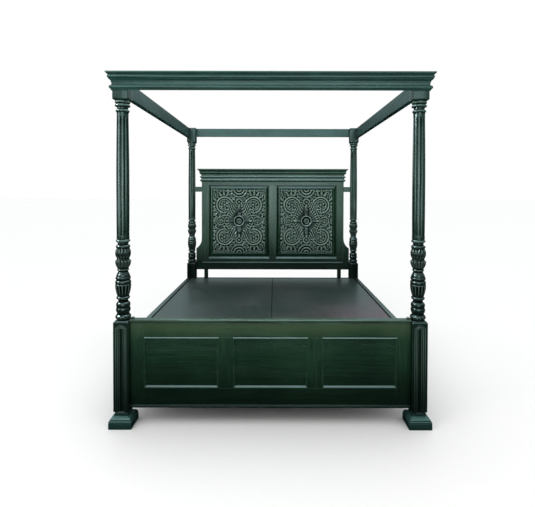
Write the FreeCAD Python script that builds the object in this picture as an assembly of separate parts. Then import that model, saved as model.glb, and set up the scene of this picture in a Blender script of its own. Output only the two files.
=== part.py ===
import FreeCAD, Part
import math
import os

# Four poster canopy bed for a king size mattress.  Millimetres.
# Origin: floor level under the centre of the bed's outline.
# +X: to the right for someone standing at the foot of the bed and facing the head.
# +Y: from the foot of the bed to its head.   +Z: up.

# ------------------------------------------------------------------ driving dimensions
HEIGHT = 2134.0             # floor to the top of the canopy, 7 ft
POST_SPACING_X = 1800.0     # between post centres, side to side
POST_SPACING_Y = 2096.0     # between post centres, foot to head
BLOCK = 92.0                # side of the posts' square blocks
FOOT = 138.0                # side of the plinth under each post
FLUTES = 10                 # round the long shaft of each post
CORNICE_OUT = 31.0          # canopy cornice, beyond the posts' outer faces

DECK_TOP = 472.0            # what the mattress lies on
DECK_THICKNESS = 18.0
DECK_LIFT_GAP = 5.0         # free space round the two lift-out deck boards
DECK_SIDE_GAP = 8.0         # between a deck board and the side rail
DECK_SEAM = 3.0             # between the two boards
SIDE_RAIL_TOP = 476.0
SIDE_RAIL_HEIGHT = 220.0
SIDE_RAIL_THICKNESS = 38.0

FOOTBOARD_TOP = 647.0
FOOTBOARD_BOTTOM = 109.0
FOOTBOARD_THICKNESS = 32.0
HEADBOARD_TOP = 1682.0
HEADBOARD_HALF_WIDTH = 789.0
HEADBOARD_THICKNESS = 34.0

CANOPY_BOARD = 22.0         # thickness of the canopy rails
CANOPY_RAIL_HEIGHT = 100.0
CANOPY_BACK_RAIL_HEIGHT = 90.0
LONG_ARRIS = 2.0            # rounding of sawn boards along their edges

# ------------------------------------------------------------------ derived places
HALF_BLOCK = BLOCK / 2
HALF_FOOT = FOOT / 2
POST_X = POST_SPACING_X / 2
# the cornice stands out past the posts at the foot end and the plinths at the head end,
# so the posts sit a little off centre to keep the outline centred on the origin
Y_SHIFT = (HALF_BLOCK + CORNICE_OUT - HALF_FOOT) / 2
Y_FOOT = -POST_SPACING_Y / 2 + Y_SHIFT
Y_HEAD = POST_SPACING_Y / 2 + Y_SHIFT
INNER_X = POST_X - HALF_BLOCK          # inner faces of the post blocks
OUTER_X = POST_X + HALF_BLOCK
RAIL_INNER_X = OUTER_X - SIDE_RAIL_THICKNESS
DECK_UNDER = DECK_TOP - DECK_THICKNESS

SIDES = (("left", -1), ("right", 1))
ENDS = (("front", Y_FOOT), ("back", Y_HEAD))

V = FreeCAD.Vector


# ------------------------------------------------------------------ helpers
def box(x0, x1, y0, y1, z0, z1):
    """Box between two corners; the X limits may come in either order."""
    x0, x1 = min(x0, x1), max(x0, x1)
    return Part.makeBox(x1 - x0, y1 - y0, z1 - z0, V(x0, y0, z0))


def edges_along(shape, direction):
    """Straight edges of a shape that run along one direction."""
    found = []
    for edge in shape.Edges:
        if isinstance(edge.Curve, Part.Line) or isinstance(edge.Curve, Part.LineSegment):
            tangent = edge.tangentAt(edge.FirstParameter)
            if abs(abs(tangent.dot(direction)) - 1) < 1e-6:
                found.append(edge)
    return found


def board(x0, x1, y0, y1, z0, z1, along, arris=LONG_ARRIS):
    """Sawn board with its long arrises rounded; along is 'x', 'y', 'z' or 'xyz' for all."""
    solid = box(x0, x1, y0, y1, z0, z1)
    directions = {"x": V(1, 0, 0), "y": V(0, 1, 0), "z": V(0, 0, 1)}
    edges = []
    for letter in along:
        edges += edges_along(solid, directions[letter])
    return solid.makeFillet(arris, edges)


def outline_edges(points):
    """Edges through (a, z, bulge) points in the XZ plane.

    bulge is how far the middle of the edge that ends at the point stands out of its
    chord; 0 is a straight edge.
    """
    edges = []
    for (a0, z0, _), (a1, z1, bulge) in zip(points, points[1:]):
        start, end = V(a0, 0, z0), V(a1, 0, z1)
        if (end - start).Length < 1e-6:
            continue
        if bulge:
            chord = end - start
            outward = V(chord.z, 0, -chord.x) * (bulge / chord.Length)
            edges.append(Part.Arc(start, (start + end) * 0.5 + outward, end).toShape())
        else:
            edges.append(Part.LineSegment(start, end).toShape())
    return edges


def face_of(points):
    """Face in the XZ plane inside a closed (a, z, bulge) outline."""
    return Part.Face(Part.Wire(outline_edges(points + points[:1])))


def outline_face(points):
    """Face in the XZ plane between the line a = 0 and an outline that runs upwards."""
    bottom, top = points[0], points[-1]
    return face_of([(0, bottom[1], 0)] + points + [(0, top[1], 0)])


def turned(points):
    """Solid of revolution about Z."""
    return outline_face(points).revolve(V(0, 0, 0), V(0, 0, 1), 360)


def square_turned(points):
    """Square solid about Z whose half width follows an outline, mitred at its corners."""
    half = outline_face(points)
    reach = max(a for a, _, _ in points) + 1
    both = half.extrude(V(0, 2 * reach, 0))
    both.translate(V(0, -reach, 0))
    across_x = both.fuse(both.mirror(V(0, 0, 0), V(1, 0, 0)))
    across_y = across_x.copy()
    across_y.rotate(V(0, 0, 0), V(0, 0, 1), 90)
    return across_x.common(across_y).removeSplitter()


def moulding_run(points, start, end, outward):
    """Straight moulding from start to end, its back on that line, facing outward."""
    run = end - start
    face = outline_face(points)
    turn = FreeCAD.Rotation(V(outward.x, outward.y, 0), V(), V(0, 0, 1), "XZY")
    face.Placement = FreeCAD.Placement(start, turn)
    return face.extrude(run)


def hexagon_prism(radius, height):
    corners = []
    for step in range(7):
        angle = math.radians(60 * step)
        corners.append(V(radius * math.cos(angle), radius * math.sin(angle), 0))
    return Part.Face(Part.makePolygon(corners)).extrude(V(0, 0, height))


def moved(shape, x, y, z=0.0):
    copy = shape.copy()
    copy.translate(V(x, y, z))
    return copy


def mirrored_x(shape):
    return shape.mirror(V(0, 0, 0), V(1, 0, 0))


NODES = {}


def node(name, *solids):
    """Keep one sub-part; several solids make a group of separate pieces."""
    NODES[name] = solids[0] if len(solids) == 1 else Part.makeCompound(list(solids))


# ------------------------------------------------------------------ posts
NECK_TOP = 84.0             # the post's square block stands on the foot's neck
TENON = 50.0                # side of the post's tenon in the foot
TENON_LENGTH = 60.0
SHOULDER = 626.0            # top of the straight part of the lower block
JOINT = 1108.0              # where the upper post stands on the lower post
SHAFT_START = 1138.0
SHAFT_END = 1902.0
TOP_BLOCK = 1972.0
STUD_RADIUS = 8.0
STUD_HALF = 45.0

FOOT_OUTLINE = [
    (HALF_FOOT, 0, 0), (HALF_FOOT, 36, 0),                     # plinth
    (66, 37, 0), (66, 40, 0),                                  # groove
    (66, 47, 2.5), (63, 48, 0), (63, 50, 0),                   # bead and fillet
    (51, 63, 3), (48, 65, 0), (41, 68, -1),                    # rounded slope
    (40, 82, 0), (38, NECK_TOP, 0),                            # neck
]
BLOCK_OUTLINE = [
    (38, NECK_TOP, 0), (39, 85, 0), (HALF_BLOCK, 96, -3),      # hollowed lower end
    (HALF_BLOCK, SHOULDER, 0), (37, 645, 3.4),                 # rounded shoulder
]
LOWER_TURNING = [
    (36, 645, 0), (40, 648, 0), (41, 651, 0), (41, 673, 5.5),  # base ring
    (37, 677, 0), (36, 680, 0), (36, 687, 0), (39, 719, 4.8),  # lower ball
    (38.3, 721, 0), (39.5, 724, 0), (41, 738, 1.2),            # upper ball, in two lobes
    (30.5, 753, 3), (29, 756, 0), (29, 764, 0),
    (33, 769, 0), (33, 787, 6.5), (34, 790, 0),                # torus
    (46.4, 857, 3), (45.5, 860, 0), (43.5, 862, 0),            # vase
    (43.5, 881, 2.6), (40.5, 884, 0), (40.5, 889, 0),          # ring at its rim
    (42, 891, 0), (42, 905, 2.3), (40, 908, 0),                # bell on a second ring
    (34, 925, 1.5), (29, 935, 0.5), (28.5, 940, 0),
    (31, 943, 0), (31, 954, 4), (31.5, 957, 0),                # small ring
    (46, 998, 3.3), (44.5, 1005, 1), (38, 1009, 0),            # leaf cup
    (36.5, 1013, 0), (37, 1019, 0),
    (45.6, 1050, 2.5), (38.4, 1078, 2), (37, 1080, 0),         # bulb
    (37, 1098, 4.8), (32, 1101, 0), (31, 1104, 0),             # ring over the bulb
    (31, JOINT, 0),
]
UPPER_TURNING = [
    (31, JOINT, 0), (31, 1113, 0), (35, 1116, 0), (35, 1133, 6.5), (37, 1135, 0),  # ring over the joint
    (37.3, 1138, 0), (38.5, 1400, 0.3), (36.5, 1730, 0.8), (34.2, 1893, 0.2),     # shaft, swollen and tapered
    (35, 1902, 0), (36, 1904, 0), (36, 1918, 4.5), (32, 1921, 0),                 # ring and neck
    (32, 1934, 0), (38, 1936, 0), (38, 1950, 7), (37, 1953, 0),                   # two rings under the block
    (38, 1956, 0), (38, 1971, 7), (38, TOP_BLOCK, 0),
]
SHAFT_WIDEST = 38.8         # radius of the shaft where it swells most
FLUTE_RADIUS = 9.0
FLUTE_DEEPEST = 4.4
FLUTE_MARGIN = 24.0         # plain shaft above and below the flutes

# sunk panel in the front posts' outer faces: two arched steps over a sloped sill, which
# stands out of the block's hollowed end
RECESS_SILL = 97.0
RECESS_SILL_LOW = 88.0
RECESS_SILL_UNDER = 86.0
RECESS_SILL_HALF = 26.0
RECESS_SILL_BACK = 14.0     # behind the block's face
RECESS_STEPS = ((29.0, 604.0, 16.0, 4.5), (17.0, 592.0, 13.0, 8.6))  # half width, spring, rise, depth


def rounded_square(half, corner, z0, z1):
    """Square bar about Z with rounded upright edges."""
    solid = box(-half, half, -half, half, z0, z1)
    return solid.makeFillet(corner, edges_along(solid, V(0, 0, 1)))


def post_tenon():
    half = TENON / 2
    return box(-half, half, -half, half, NECK_TOP - TENON_LENGTH, NECK_TOP)


def foot():
    moulded = square_turned(FOOT_OUTLINE)
    return moulded.common(rounded_square(HALF_FOOT, 2.5, 0, NECK_TOP)).cut(post_tenon())


def arched_step(half_width, spring, rise, depth):
    """Tool for one step of the sunk panel, with an ogee top, in the post's -Y face."""
    quarter, flex = half_width / 2, rise * 0.14
    middle = spring + rise / 2
    outline = [(-half_width, RECESS_SILL, 0), (half_width, RECESS_SILL, 0), (half_width, spring, 0),
               (quarter, middle, -flex), (0, spring + rise, flex),
               (-quarter, middle, flex), (-half_width, spring, -flex)]
    tool = face_of(outline)
    tool.translate(V(0, -HALF_BLOCK, 0))
    return tool.extrude(V(0, depth, 0))


def sloped_sill():
    """Tool that slopes from the deepest step's foot down to the post's face."""
    face_y = -HALF_BLOCK
    deepest = RECESS_STEPS[-1][3]
    corners = [V(-RECESS_SILL_HALF, face_y, RECESS_SILL_LOW), V(-RECESS_SILL_HALF, face_y + deepest, RECESS_SILL),
               V(-RECESS_SILL_HALF, face_y, RECESS_SILL)]
    side = Part.Face(Part.makePolygon(corners + corners[:1]))
    return side.extrude(V(2 * RECESS_SILL_HALF, 0, 0))


def lower_post(panelled):
    block = square_turned(BLOCK_OUTLINE).common(rounded_square(HALF_BLOCK, 3.0, NECK_TOP, 645))
    if panelled:
        block = block.fuse(box(-RECESS_SILL_HALF, RECESS_SILL_HALF, -HALF_BLOCK,
                               -HALF_BLOCK + RECESS_SILL_BACK, RECESS_SILL_UNDER, RECESS_SILL))
        for step in RECESS_STEPS:
            block = block.cut(arched_step(*step))
        block = block.cut(sloped_sill())
    return block.fuse([post_tenon(), turned(LOWER_TURNING)]).cut(post_stud())


def post_stud():
    return Part.makeCylinder(STUD_RADIUS, 2 * STUD_HALF, V(0, 0, JOINT - STUD_HALF))


def shaft_flute():
    """Round-ended groove along the shaft, on the +X side; the swelling makes it deepest halfway."""
    centre = SHAFT_WIDEST + FLUTE_RADIUS - FLUTE_DEEPEST
    low, high = SHAFT_START + FLUTE_MARGIN, SHAFT_END - FLUTE_MARGIN
    groove = Part.makeCylinder(FLUTE_RADIUS, high - low, V(centre, 0, low))
    ends = [Part.makeSphere(FLUTE_RADIUS, V(centre, 0, z)) for z in (low, high)]
    return groove.fuse(ends)


def upper_post():
    flutes = []
    for step in range(FLUTES):
        flute = shaft_flute()
        flute.rotate(V(0, 0, 0), V(0, 0, 1), (step + 0.5) * 360 / FLUTES)
        flutes.append(flute)
    shaft = turned(UPPER_TURNING).cut(Part.makeCompound(flutes))
    block = box(-HALF_BLOCK, HALF_BLOCK, -HALF_BLOCK, HALF_BLOCK, TOP_BLOCK, HEIGHT)
    lower_edges = []
    for edge in block.Edges:
        if abs(edge.CenterOfMass.z - TOP_BLOCK) < 1e-6:
            lower_edges.append(edge)
    block = block.makeFillet(9.0, lower_edges)
    return shaft.fuse(block).cut(post_stud())


def make_posts():
    foot_shape = foot()
    lower_shapes = {"front": lower_post(True), "back": lower_post(False)}
    upper_shape = upper_post()
    dowels = canopy_dowel_solids()
    for end, y in ENDS:
        for side, sign in SIDES:
            place = end + "_" + side
            x = sign * POST_X
            node("foot_" + place, moved(foot_shape, x, y))
            node("post_lower_" + place, moved(lower_shapes[end], x, y).cut(rail_bolts_near(x, y)))
            node("post_upper_" + place, moved(upper_shape, x, y).cut(Part.makeCompound(dowels)))
    studs = [moved(post_stud(), sign * POST_X, y) for _, y in ENDS for _, sign in SIDES]
    node("post_joint_studs", *studs)
    node("canopy_dowels", *dowels)


# ------------------------------------------------------------------ side rails and deck supports
LEDGER = 40.0
SLAT_THICKNESS = 20.0
SLAT_TOP = DECK_UNDER
LEDGER_TOP = SLAT_TOP - SLAT_THICKNESS
BEAM_HALF = 30.0
BEAM_HEIGHT = 90.0
HEAD_RAIL_THICKNESS = 38.0
HEAD_RAIL_FACE = Y_HEAD - HEADBOARD_THICKNESS / 2      # rear face, against the headboard's legs
DECK_BACK = HEAD_RAIL_FACE - 19.0
DECK_FRONT = Y_FOOT + 31.0
BRACKET_LEG = 58.0
BRACKET_PLATE = 4.0
BRACKET_CLEARANCE = 4.0     # bracket's edge to the block's inner corner
BRACKET_LOW = 276.0
BRACKET_HIGH = 386.0
BOLT_RADIUS = 4.0
BOLT_HEAD_RADIUS = 7.5
BOLT_HEAD_HEIGHT = 5.5
BOLT_INSET = 25.0           # from the bracket's top and bottom
RAIL_BOLT_AT = 38.0         # from the corner, along the rail
RAIL_BOLT_LENGTH = 30.0
POST_BOLT_AT = 26.0         # from the corner, across the post
POST_BOLT_LENGTH = 45.0
LEDGER_END_GAP = 14.0       # a ledger stops short of the posts
LEG_SIDE = 64.0
END_LEG_INSET = 160.0
SLAT_COUNT = 7
SLAT_WIDTH = 90.0
END_SLAT_INSET = 90.0
SLAT_END_GAP = 3.0


def bracket_corner(sign, end_sign):
    """Inside corner where a side rail's inner face meets a post block."""
    y = (Y_FOOT + HALF_BLOCK) if end_sign < 0 else (Y_HEAD - HALF_BLOCK)
    return sign * RAIL_INNER_X, y


def rail_bracket(sign, end_sign):
    """Steel angle: one leg flat on the rail's inner face, the other on the post block."""
    x, y = bracket_corner(sign, end_sign)
    inward = -end_sign
    y_far = y + inward * BRACKET_LEG
    on_rail = box(x, x - sign * BRACKET_PLATE, min(y, y_far), max(y, y_far), BRACKET_LOW, BRACKET_HIGH)
    y_plate = y + inward * BRACKET_PLATE
    width = RAIL_INNER_X - INNER_X - BRACKET_CLEARANCE
    on_post = box(x, x - sign * width, min(y, y_plate), max(y, y_plate), BRACKET_LOW, BRACKET_HIGH)
    return on_rail.fuse(on_post)


def hex_bolt(point, direction, length):
    """Bolt whose shank runs from point along direction, with its head on the other side."""
    shank = Part.makeCylinder(BOLT_RADIUS, length, V(0, 0, 0))
    head = moved(hexagon_prism(BOLT_HEAD_RADIUS, BOLT_HEAD_HEIGHT), 0, 0, -BOLT_HEAD_HEIGHT)
    bolt = shank.fuse(head)
    bolt.Placement = FreeCAD.Placement(point, FreeCAD.Rotation(V(0, 0, 1), direction))
    return bolt


def bracket_bolts(sign, end_sign):
    x, y = bracket_corner(sign, end_sign)
    inward = -end_sign
    bolts = []
    for z in (BRACKET_LOW + BOLT_INSET, BRACKET_HIGH - BOLT_INSET):
        through_rail = V(x - sign * BRACKET_PLATE, y + inward * RAIL_BOLT_AT, z)
        bolts.append(hex_bolt(through_rail, V(sign, 0, 0), RAIL_BOLT_LENGTH))
        through_post = V(x - sign * POST_BOLT_AT, y + inward * BRACKET_PLATE, z)
        bolts.append(hex_bolt(through_post, V(0, -inward, 0), POST_BOLT_LENGTH))
    return bolts


def all_bracket_bolts():
    bolts = []
    for end_sign in (-1, 1):
        for _, sign in SIDES:
            bolts += bracket_bolts(sign, end_sign)
    return bolts


def rail_bolts_near(x, y):
    sign = 1 if x > 0 else -1
    end_sign = -1 if y < 0 else 1
    return Part.makeCompound(bracket_bolts(sign, end_sign))


def make_side_frame():
    y_low, y_high = Y_FOOT + HALF_BLOCK, Y_HEAD - HALF_BLOCK
    bolts = Part.makeCompound(all_bracket_bolts())
    for side, sign in SIDES:
        rail = board(sign * RAIL_INNER_X, sign * OUTER_X, y_low, y_high,
                     SIDE_RAIL_TOP - SIDE_RAIL_HEIGHT, SIDE_RAIL_TOP, "y", 3.0)
        node("side_rail_" + side, rail.cut(bolts))
        ledger = board(sign * (RAIL_INNER_X - LEDGER), sign * RAIL_INNER_X,
                       y_low + LEDGER_END_GAP, y_high - LEDGER_END_GAP, LEDGER_TOP - LEDGER, LEDGER_TOP, "y")
        node("rail_ledger_" + side, ledger)

    foot_face = Y_FOOT + FOOTBOARD_THICKNESS / 2
    node("foot_ledger", board(-INNER_X, INNER_X, foot_face, foot_face + LEDGER,
                              SLAT_TOP - LEDGER, SLAT_TOP, "x"))
    head_rail = box(-INNER_X, INNER_X, HEAD_RAIL_FACE - HEAD_RAIL_THICKNESS, HEAD_RAIL_FACE,
                    SIDE_RAIL_TOP - SIDE_RAIL_HEIGHT, SIDE_RAIL_TOP)
    rebate = box(-INNER_X, INNER_X, HEAD_RAIL_FACE - HEAD_RAIL_THICKNESS, DECK_BACK + DECK_LIFT_GAP,
                 SLAT_TOP, SIDE_RAIL_TOP)
    node("head_rail", head_rail.cut(rebate))

    beam_y = (foot_face + LEDGER, HEAD_RAIL_FACE - HEAD_RAIL_THICKNESS)
    beam = board(-BEAM_HALF, BEAM_HALF, beam_y[0], beam_y[1],
                 LEDGER_TOP - BEAM_HEIGHT, LEDGER_TOP, "y", 3.0)
    node("centre_beam", beam)
    legs = []
    half_leg = LEG_SIDE / 2
    for y in (beam_y[0] + END_LEG_INSET, (beam_y[0] + beam_y[1]) / 2, beam_y[1] - END_LEG_INSET):
        legs.append(board(-half_leg, half_leg, y - half_leg, y + half_leg,
                          0, LEDGER_TOP - BEAM_HEIGHT, "z", 3.0))
    node("centre_legs", *legs)

    slats = []
    first, last = beam_y[0] + END_SLAT_INSET, beam_y[1] - END_SLAT_INSET
    reach = RAIL_INNER_X - SLAT_END_GAP
    for step in range(SLAT_COUNT):
        y = first + (last - first) * step / (SLAT_COUNT - 1)
        slats.append(board(-reach, reach, y - SLAT_WIDTH / 2, y + SLAT_WIDTH / 2,
                           LEDGER_TOP, SLAT_TOP, "x"))
    node("cross_slats", *slats)

    node("rail_brackets", *[rail_bracket(sign, end_sign).cut(bolts)
                            for end_sign in (-1, 1) for _, sign in SIDES])
    node("rail_bracket_bolts", *all_bracket_bolts())


def make_deck():
    """Two boards that meet over the centre beam and lift straight out."""
    outer = RAIL_INNER_X - DECK_SIDE_GAP
    notch = HALF_BLOCK + DECK_LIFT_GAP
    for side, sign in SIDES:
        deck = board(sign * DECK_SEAM / 2, sign * outer, DECK_FRONT, DECK_BACK, DECK_UNDER, DECK_TOP, "xy")
        for y in (Y_FOOT, Y_HEAD):
            deck = deck.cut(box(sign * (POST_X - notch), sign * OUTER_X, y - notch, y + notch,
                                DECK_UNDER, DECK_TOP))
        node("deck_board_" + side, deck)


# ------------------------------------------------------------------ footboard
FB_FRONT = Y_FOOT - FOOTBOARD_THICKNESS / 2
FB_BACK = Y_FOOT + FOOTBOARD_THICKNESS / 2
FB_CAP_THICKNESS = 15.0
FB_STILE = 83.0
FB_MUNTIN = 86.0
FB_TOP_RAIL_LOW = 538.0
FB_BOTTOM_RAIL_HIGH = 227.0
FB_BEAD_TOP = 126.0
FB_PANEL_WIDTH = (2 * INNER_X - 2 * FB_STILE - 2 * FB_MUNTIN) / 3
FB_MOULDING = 14.0
FB_CAP_OVERHANG = 9.0
FB_PANEL_FACE = FB_FRONT + 8.0
FB_PANEL_BACK = FB_BACK - 6.0
SHARP_ARRIS = 1.5                   # rails, stiles and muntins of both boards
BUTTON_INSET = 14.0
FB_PANEL_MOULDING = [(0, 8, 0), (2, 11, 0.8), (8, 11, 1.6), (12, 3, -1.5), (FB_MOULDING, 2, 0)]
FB_CAP_COVE = [(0, 620, 0), (3, 620, 0), (3, 623, 0), (7, 632, -1.5)]
FB_BASE_BEAD = [(0, FOOTBOARD_BOTTOM, 0), (5, FOOTBOARD_BOTTOM, 0), (5, 113, 0), (5, 122, 4.4),
                (3, 124, 0), (0, FB_BEAD_TOP, 0)]
BUTTON = [(7, FOOTBOARD_TOP, 0), (7, 650, 0), (9, 652, 0), (9, 656, 1.5), (5, 659, 1)]


def picture_frame(x0, x1, z0, z1, face_y, outline, width):
    """Four mitred bars round an opening; outline runs from the opening's edge inwards.

    outline is (inward distance, height above face_y towards -Y, bulge), and the bars'
    backs lie on the plane y = face_y.
    """
    bars = []
    corners = [(x0, z0), (x1, z0), (x1, z1), (x0, z1)]
    centre_x, centre_z = (x0 + x1) / 2, (z0 + z1) / 2
    for index in range(4):
        ax, az = corners[index]
        bx, bz = corners[(index + 1) % 4]
        length = math.hypot(bx - ax, bz - az)
        run = V(bx - ax, 0, bz - az)
        inward = V(-run.z, 0, run.x) * (1 / length)
        mid = V((ax + bx) / 2, 0, (az + bz) / 2)
        if inward.dot(V(centre_x, 0, centre_z) - mid) < 0:
            inward = inward * -1
        edges = []
        points = [(0, 0, 0)] + list(outline) + [(width, 0, 0), (0, 0, 0)]
        corner = V(ax, face_y, az)
        for (d0, h0, _), (d1, h1, bulge) in zip(points, points[1:]):
            start = corner + inward * d0 + V(0, -h0, 0)
            end = corner + inward * d1 + V(0, -h1, 0)
            if bulge:
                across = (end - start).cross(run)
                across = across * (bulge / across.Length)
                if across.dot(V(0, -1, 0)) * bulge < 0:
                    across = across * -1
                edges.append(Part.Arc(start, (start + end) * 0.5 + across, end).toShape())
            elif (end - start).Length > 1e-6:
                edges.append(Part.LineSegment(start, end).toShape())
        bar = Part.Face(Part.Wire(edges)).extrude(run)
        a, b = V(ax, face_y - 100, az), V(bx, face_y - 100, bz)
        toward_a = (V(1, 0, 0) if ax < centre_x else V(-1, 0, 0)) + (
            V(0, 0, 1) if az < centre_z else V(0, 0, -1))
        toward_b = (V(1, 0, 0) if bx < centre_x else V(-1, 0, 0)) + (
            V(0, 0, 1) if bz < centre_z else V(0, 0, -1))
        reach = width * 1.2
        mitre = Part.Face(Part.makePolygon([a, b, b + toward_b * reach, a + toward_a * reach, a]))
        bars.append(bar.common(mitre.extrude(V(0, 200, 0))))
    return bars


def front_moulding(outline, half_length, face_y):
    """Moulding across a board's front face, centred on X = 0."""
    return moulding_run(outline, V(-half_length, face_y, 0), V(half_length, face_y, 0), V(0, -1, 0))


def make_footboard():
    rail_top = FOOTBOARD_TOP - FB_CAP_THICKNESS
    cap = board(-INNER_X, INNER_X, FB_FRONT - FB_CAP_OVERHANG, FB_BACK + FB_CAP_OVERHANG,
                rail_top, FOOTBOARD_TOP, "x", 5.0)
    node("footboard_cap", cap.fuse(front_moulding(FB_CAP_COVE, INNER_X, FB_FRONT)))

    for side, sign in SIDES:
        node("footboard_stile_" + side,
             board(sign * (INNER_X - FB_STILE), sign * INNER_X, FB_FRONT, FB_BACK,
                   FB_BEAD_TOP, rail_top, "z", SHARP_ARRIS))
    inner = INNER_X - FB_STILE
    node("footboard_top_rail",
         board(-inner, inner, FB_FRONT, FB_BACK, FB_TOP_RAIL_LOW, rail_top, "x", SHARP_ARRIS))
    node("footboard_bottom_rail",
         board(-inner, inner, FB_FRONT, FB_BACK, FB_BEAD_TOP, FB_BOTTOM_RAIL_HIGH, "x", SHARP_ARRIS))
    muntins = []
    for _, sign in SIDES:
        x = sign * (FB_PANEL_WIDTH + FB_MUNTIN) / 2
        muntins.append(board(x - FB_MUNTIN / 2, x + FB_MUNTIN / 2, FB_FRONT, FB_BACK,
                             FB_BOTTOM_RAIL_HIGH, FB_TOP_RAIL_LOW, "z", SHARP_ARRIS))
    node("footboard_muntins", *muntins)

    bars = []
    for name, step in (("left", -1), ("centre", 0), ("right", 1)):
        x = step * (FB_PANEL_WIDTH + FB_MUNTIN)
        opening = (x - FB_PANEL_WIDTH / 2, x + FB_PANEL_WIDTH / 2, FB_BOTTOM_RAIL_HIGH, FB_TOP_RAIL_LOW)
        node("footboard_panel_" + name,
             box(opening[0], opening[1], FB_PANEL_FACE, FB_PANEL_BACK, opening[2], opening[3]))
        bars += picture_frame(*opening, FB_PANEL_FACE, FB_PANEL_MOULDING, FB_MOULDING)
    node("footboard_panel_mouldings", *bars)

    core = box(-INNER_X, INNER_X, FB_FRONT, FB_BACK, FOOTBOARD_BOTTOM, FB_BEAD_TOP)
    bead = front_moulding(FB_BASE_BEAD, INNER_X, FB_FRONT)
    node("footboard_base_bead", core.fuse(bead).removeSplitter())
    node("footboard_cap_buttons",
         *[moved(turned(BUTTON), sign * (INNER_X - BUTTON_INSET), Y_FOOT) for _, sign in SIDES])


# ------------------------------------------------------------------ headboard
HB_FRONT = Y_HEAD - HEADBOARD_THICKNESS / 2
HB_BACK = Y_HEAD + HEADBOARD_THICKNESS / 2
HB_STILE = 78.0
HB_STEP = 28.0              # outer strip of each stile, set back from its face
HB_STEP_DEPTH = 6.0
HB_MUNTIN = 78.0
HB_FRAME_TOP = 1541.0
HB_OPENING_TOP = 1504.0
HB_OPENING_LOW = 705.0
HB_BASE = 655.0             # top of the lower rail
HB_LOWER_RAIL_LOW = 565.0
HB_LOWER_RAIL_BACK = HB_FRONT + 24.0
HB_LEG_FOOT = 300.0
HB_LEG_WIDTH = 39.0
HB_FRAME_WIDTH = 45.0
HB_PANEL_FACE = HB_FRONT + 24.0     # ground of the carving
HB_PANEL_BACK = HB_BACK - 2.0
HB_RELIEF = 19.0
HB_LEDGE_HEIGHT = 18.0              # bevel on the bottom rail under each panel
HB_LEDGE_DEPTH = 12.0
HB_BASE_INSET = 12.0
WING_OUTER = 850.0
WING_TOP = 801.0
WING_SWEEP_TOP = 905.0
WING_TIP = 1.5              # width of the wing's pointed top
WING_BACK = HB_BACK - 8.0
SPACER_LOW = 1429.0
SPACER_HIGH = 1485.0
SPACER_SEAT = 38.9          # radius; the shaft measures 38.6 there
SPACER_END = POST_X - 29.0

HB_CORNICE = [
    (0, HB_FRAME_TOP, 0), (6, HB_FRAME_TOP, 0), (10, 1547, 0), (10, 1565, 7), (5, 1570, 0),
    (5, 1580, 0), (10, 1584, 0), (10, 1602, 7), (5, 1606, 0), (5, 1620, 0),
    (20, 1632, 3), (20, 1648, 2.5), (24, 1652, 0), (40, 1672, -3),
    (42, 1672, 0), (42, HEADBOARD_TOP, 0),
]
HB_BASE_MOULDING = [(0, 626, 0), (5, 626, 0), (8, 630, 0), (8, 646, 5), (4, 650, 0), (4, 654, 0)]
# bevel round each carved panel: a quirk, a hollow slope up to the front and a cushion beside the carving
HB_PANEL_FRAME = [(0, 1, 0), (3, 1, 0), (25, 15, -2), (27, 17, 0), (42, 20, 1), (HB_FRAME_WIDTH, 14, 0)]


def headboard_cornice():
    """Cornice with its profile returned round both ends."""
    spare = 100.0
    half_length = HEADBOARD_HALF_WIDTH + spare
    core = box(-half_length, half_length, HB_FRONT, HB_BACK, HB_FRAME_TOP, HEADBOARD_TOP)
    along_x = front_moulding(HB_CORNICE, half_length, HB_FRONT).fuse(core)
    right = outline_face(HB_CORNICE)
    right.translate(V(HEADBOARD_HALF_WIDTH, HB_FRONT - spare, 0))
    right = right.extrude(V(0, HEADBOARD_THICKNESS + spare, 0))
    middle = box(-HEADBOARD_HALF_WIDTH, HEADBOARD_HALF_WIDTH, HB_FRONT - spare, HB_BACK,
                 HB_FRAME_TOP, HEADBOARD_TOP)
    along_y = middle.fuse([right, mirrored_x(right)])
    return along_x.common(along_y).removeSplitter()


def headboard_stile(sign):
    inner = HEADBOARD_HALF_WIDTH - HB_STILE
    outer = HEADBOARD_HALF_WIDTH
    solid = box(sign * inner, sign * outer, HB_FRONT, HB_BACK, HB_BASE, HB_FRAME_TOP)
    strip = box(sign * (outer - HB_STEP), sign * outer, HB_FRONT, HB_FRONT + HB_STEP_DEPTH,
                HB_BASE, HB_FRAME_TOP)
    leg_outer = outer - HB_STEP
    leg = box(sign * (leg_outer - HB_LEG_WIDTH), sign * leg_outer, HB_FRONT, HB_BACK, HB_LEG_FOOT, HB_BASE)
    housing = box(-INNER_X, INNER_X, HB_FRONT, HB_LOWER_RAIL_BACK, HB_LOWER_RAIL_LOW, HB_BASE)
    return solid.cut(strip).fuse(leg).cut(housing)


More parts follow.
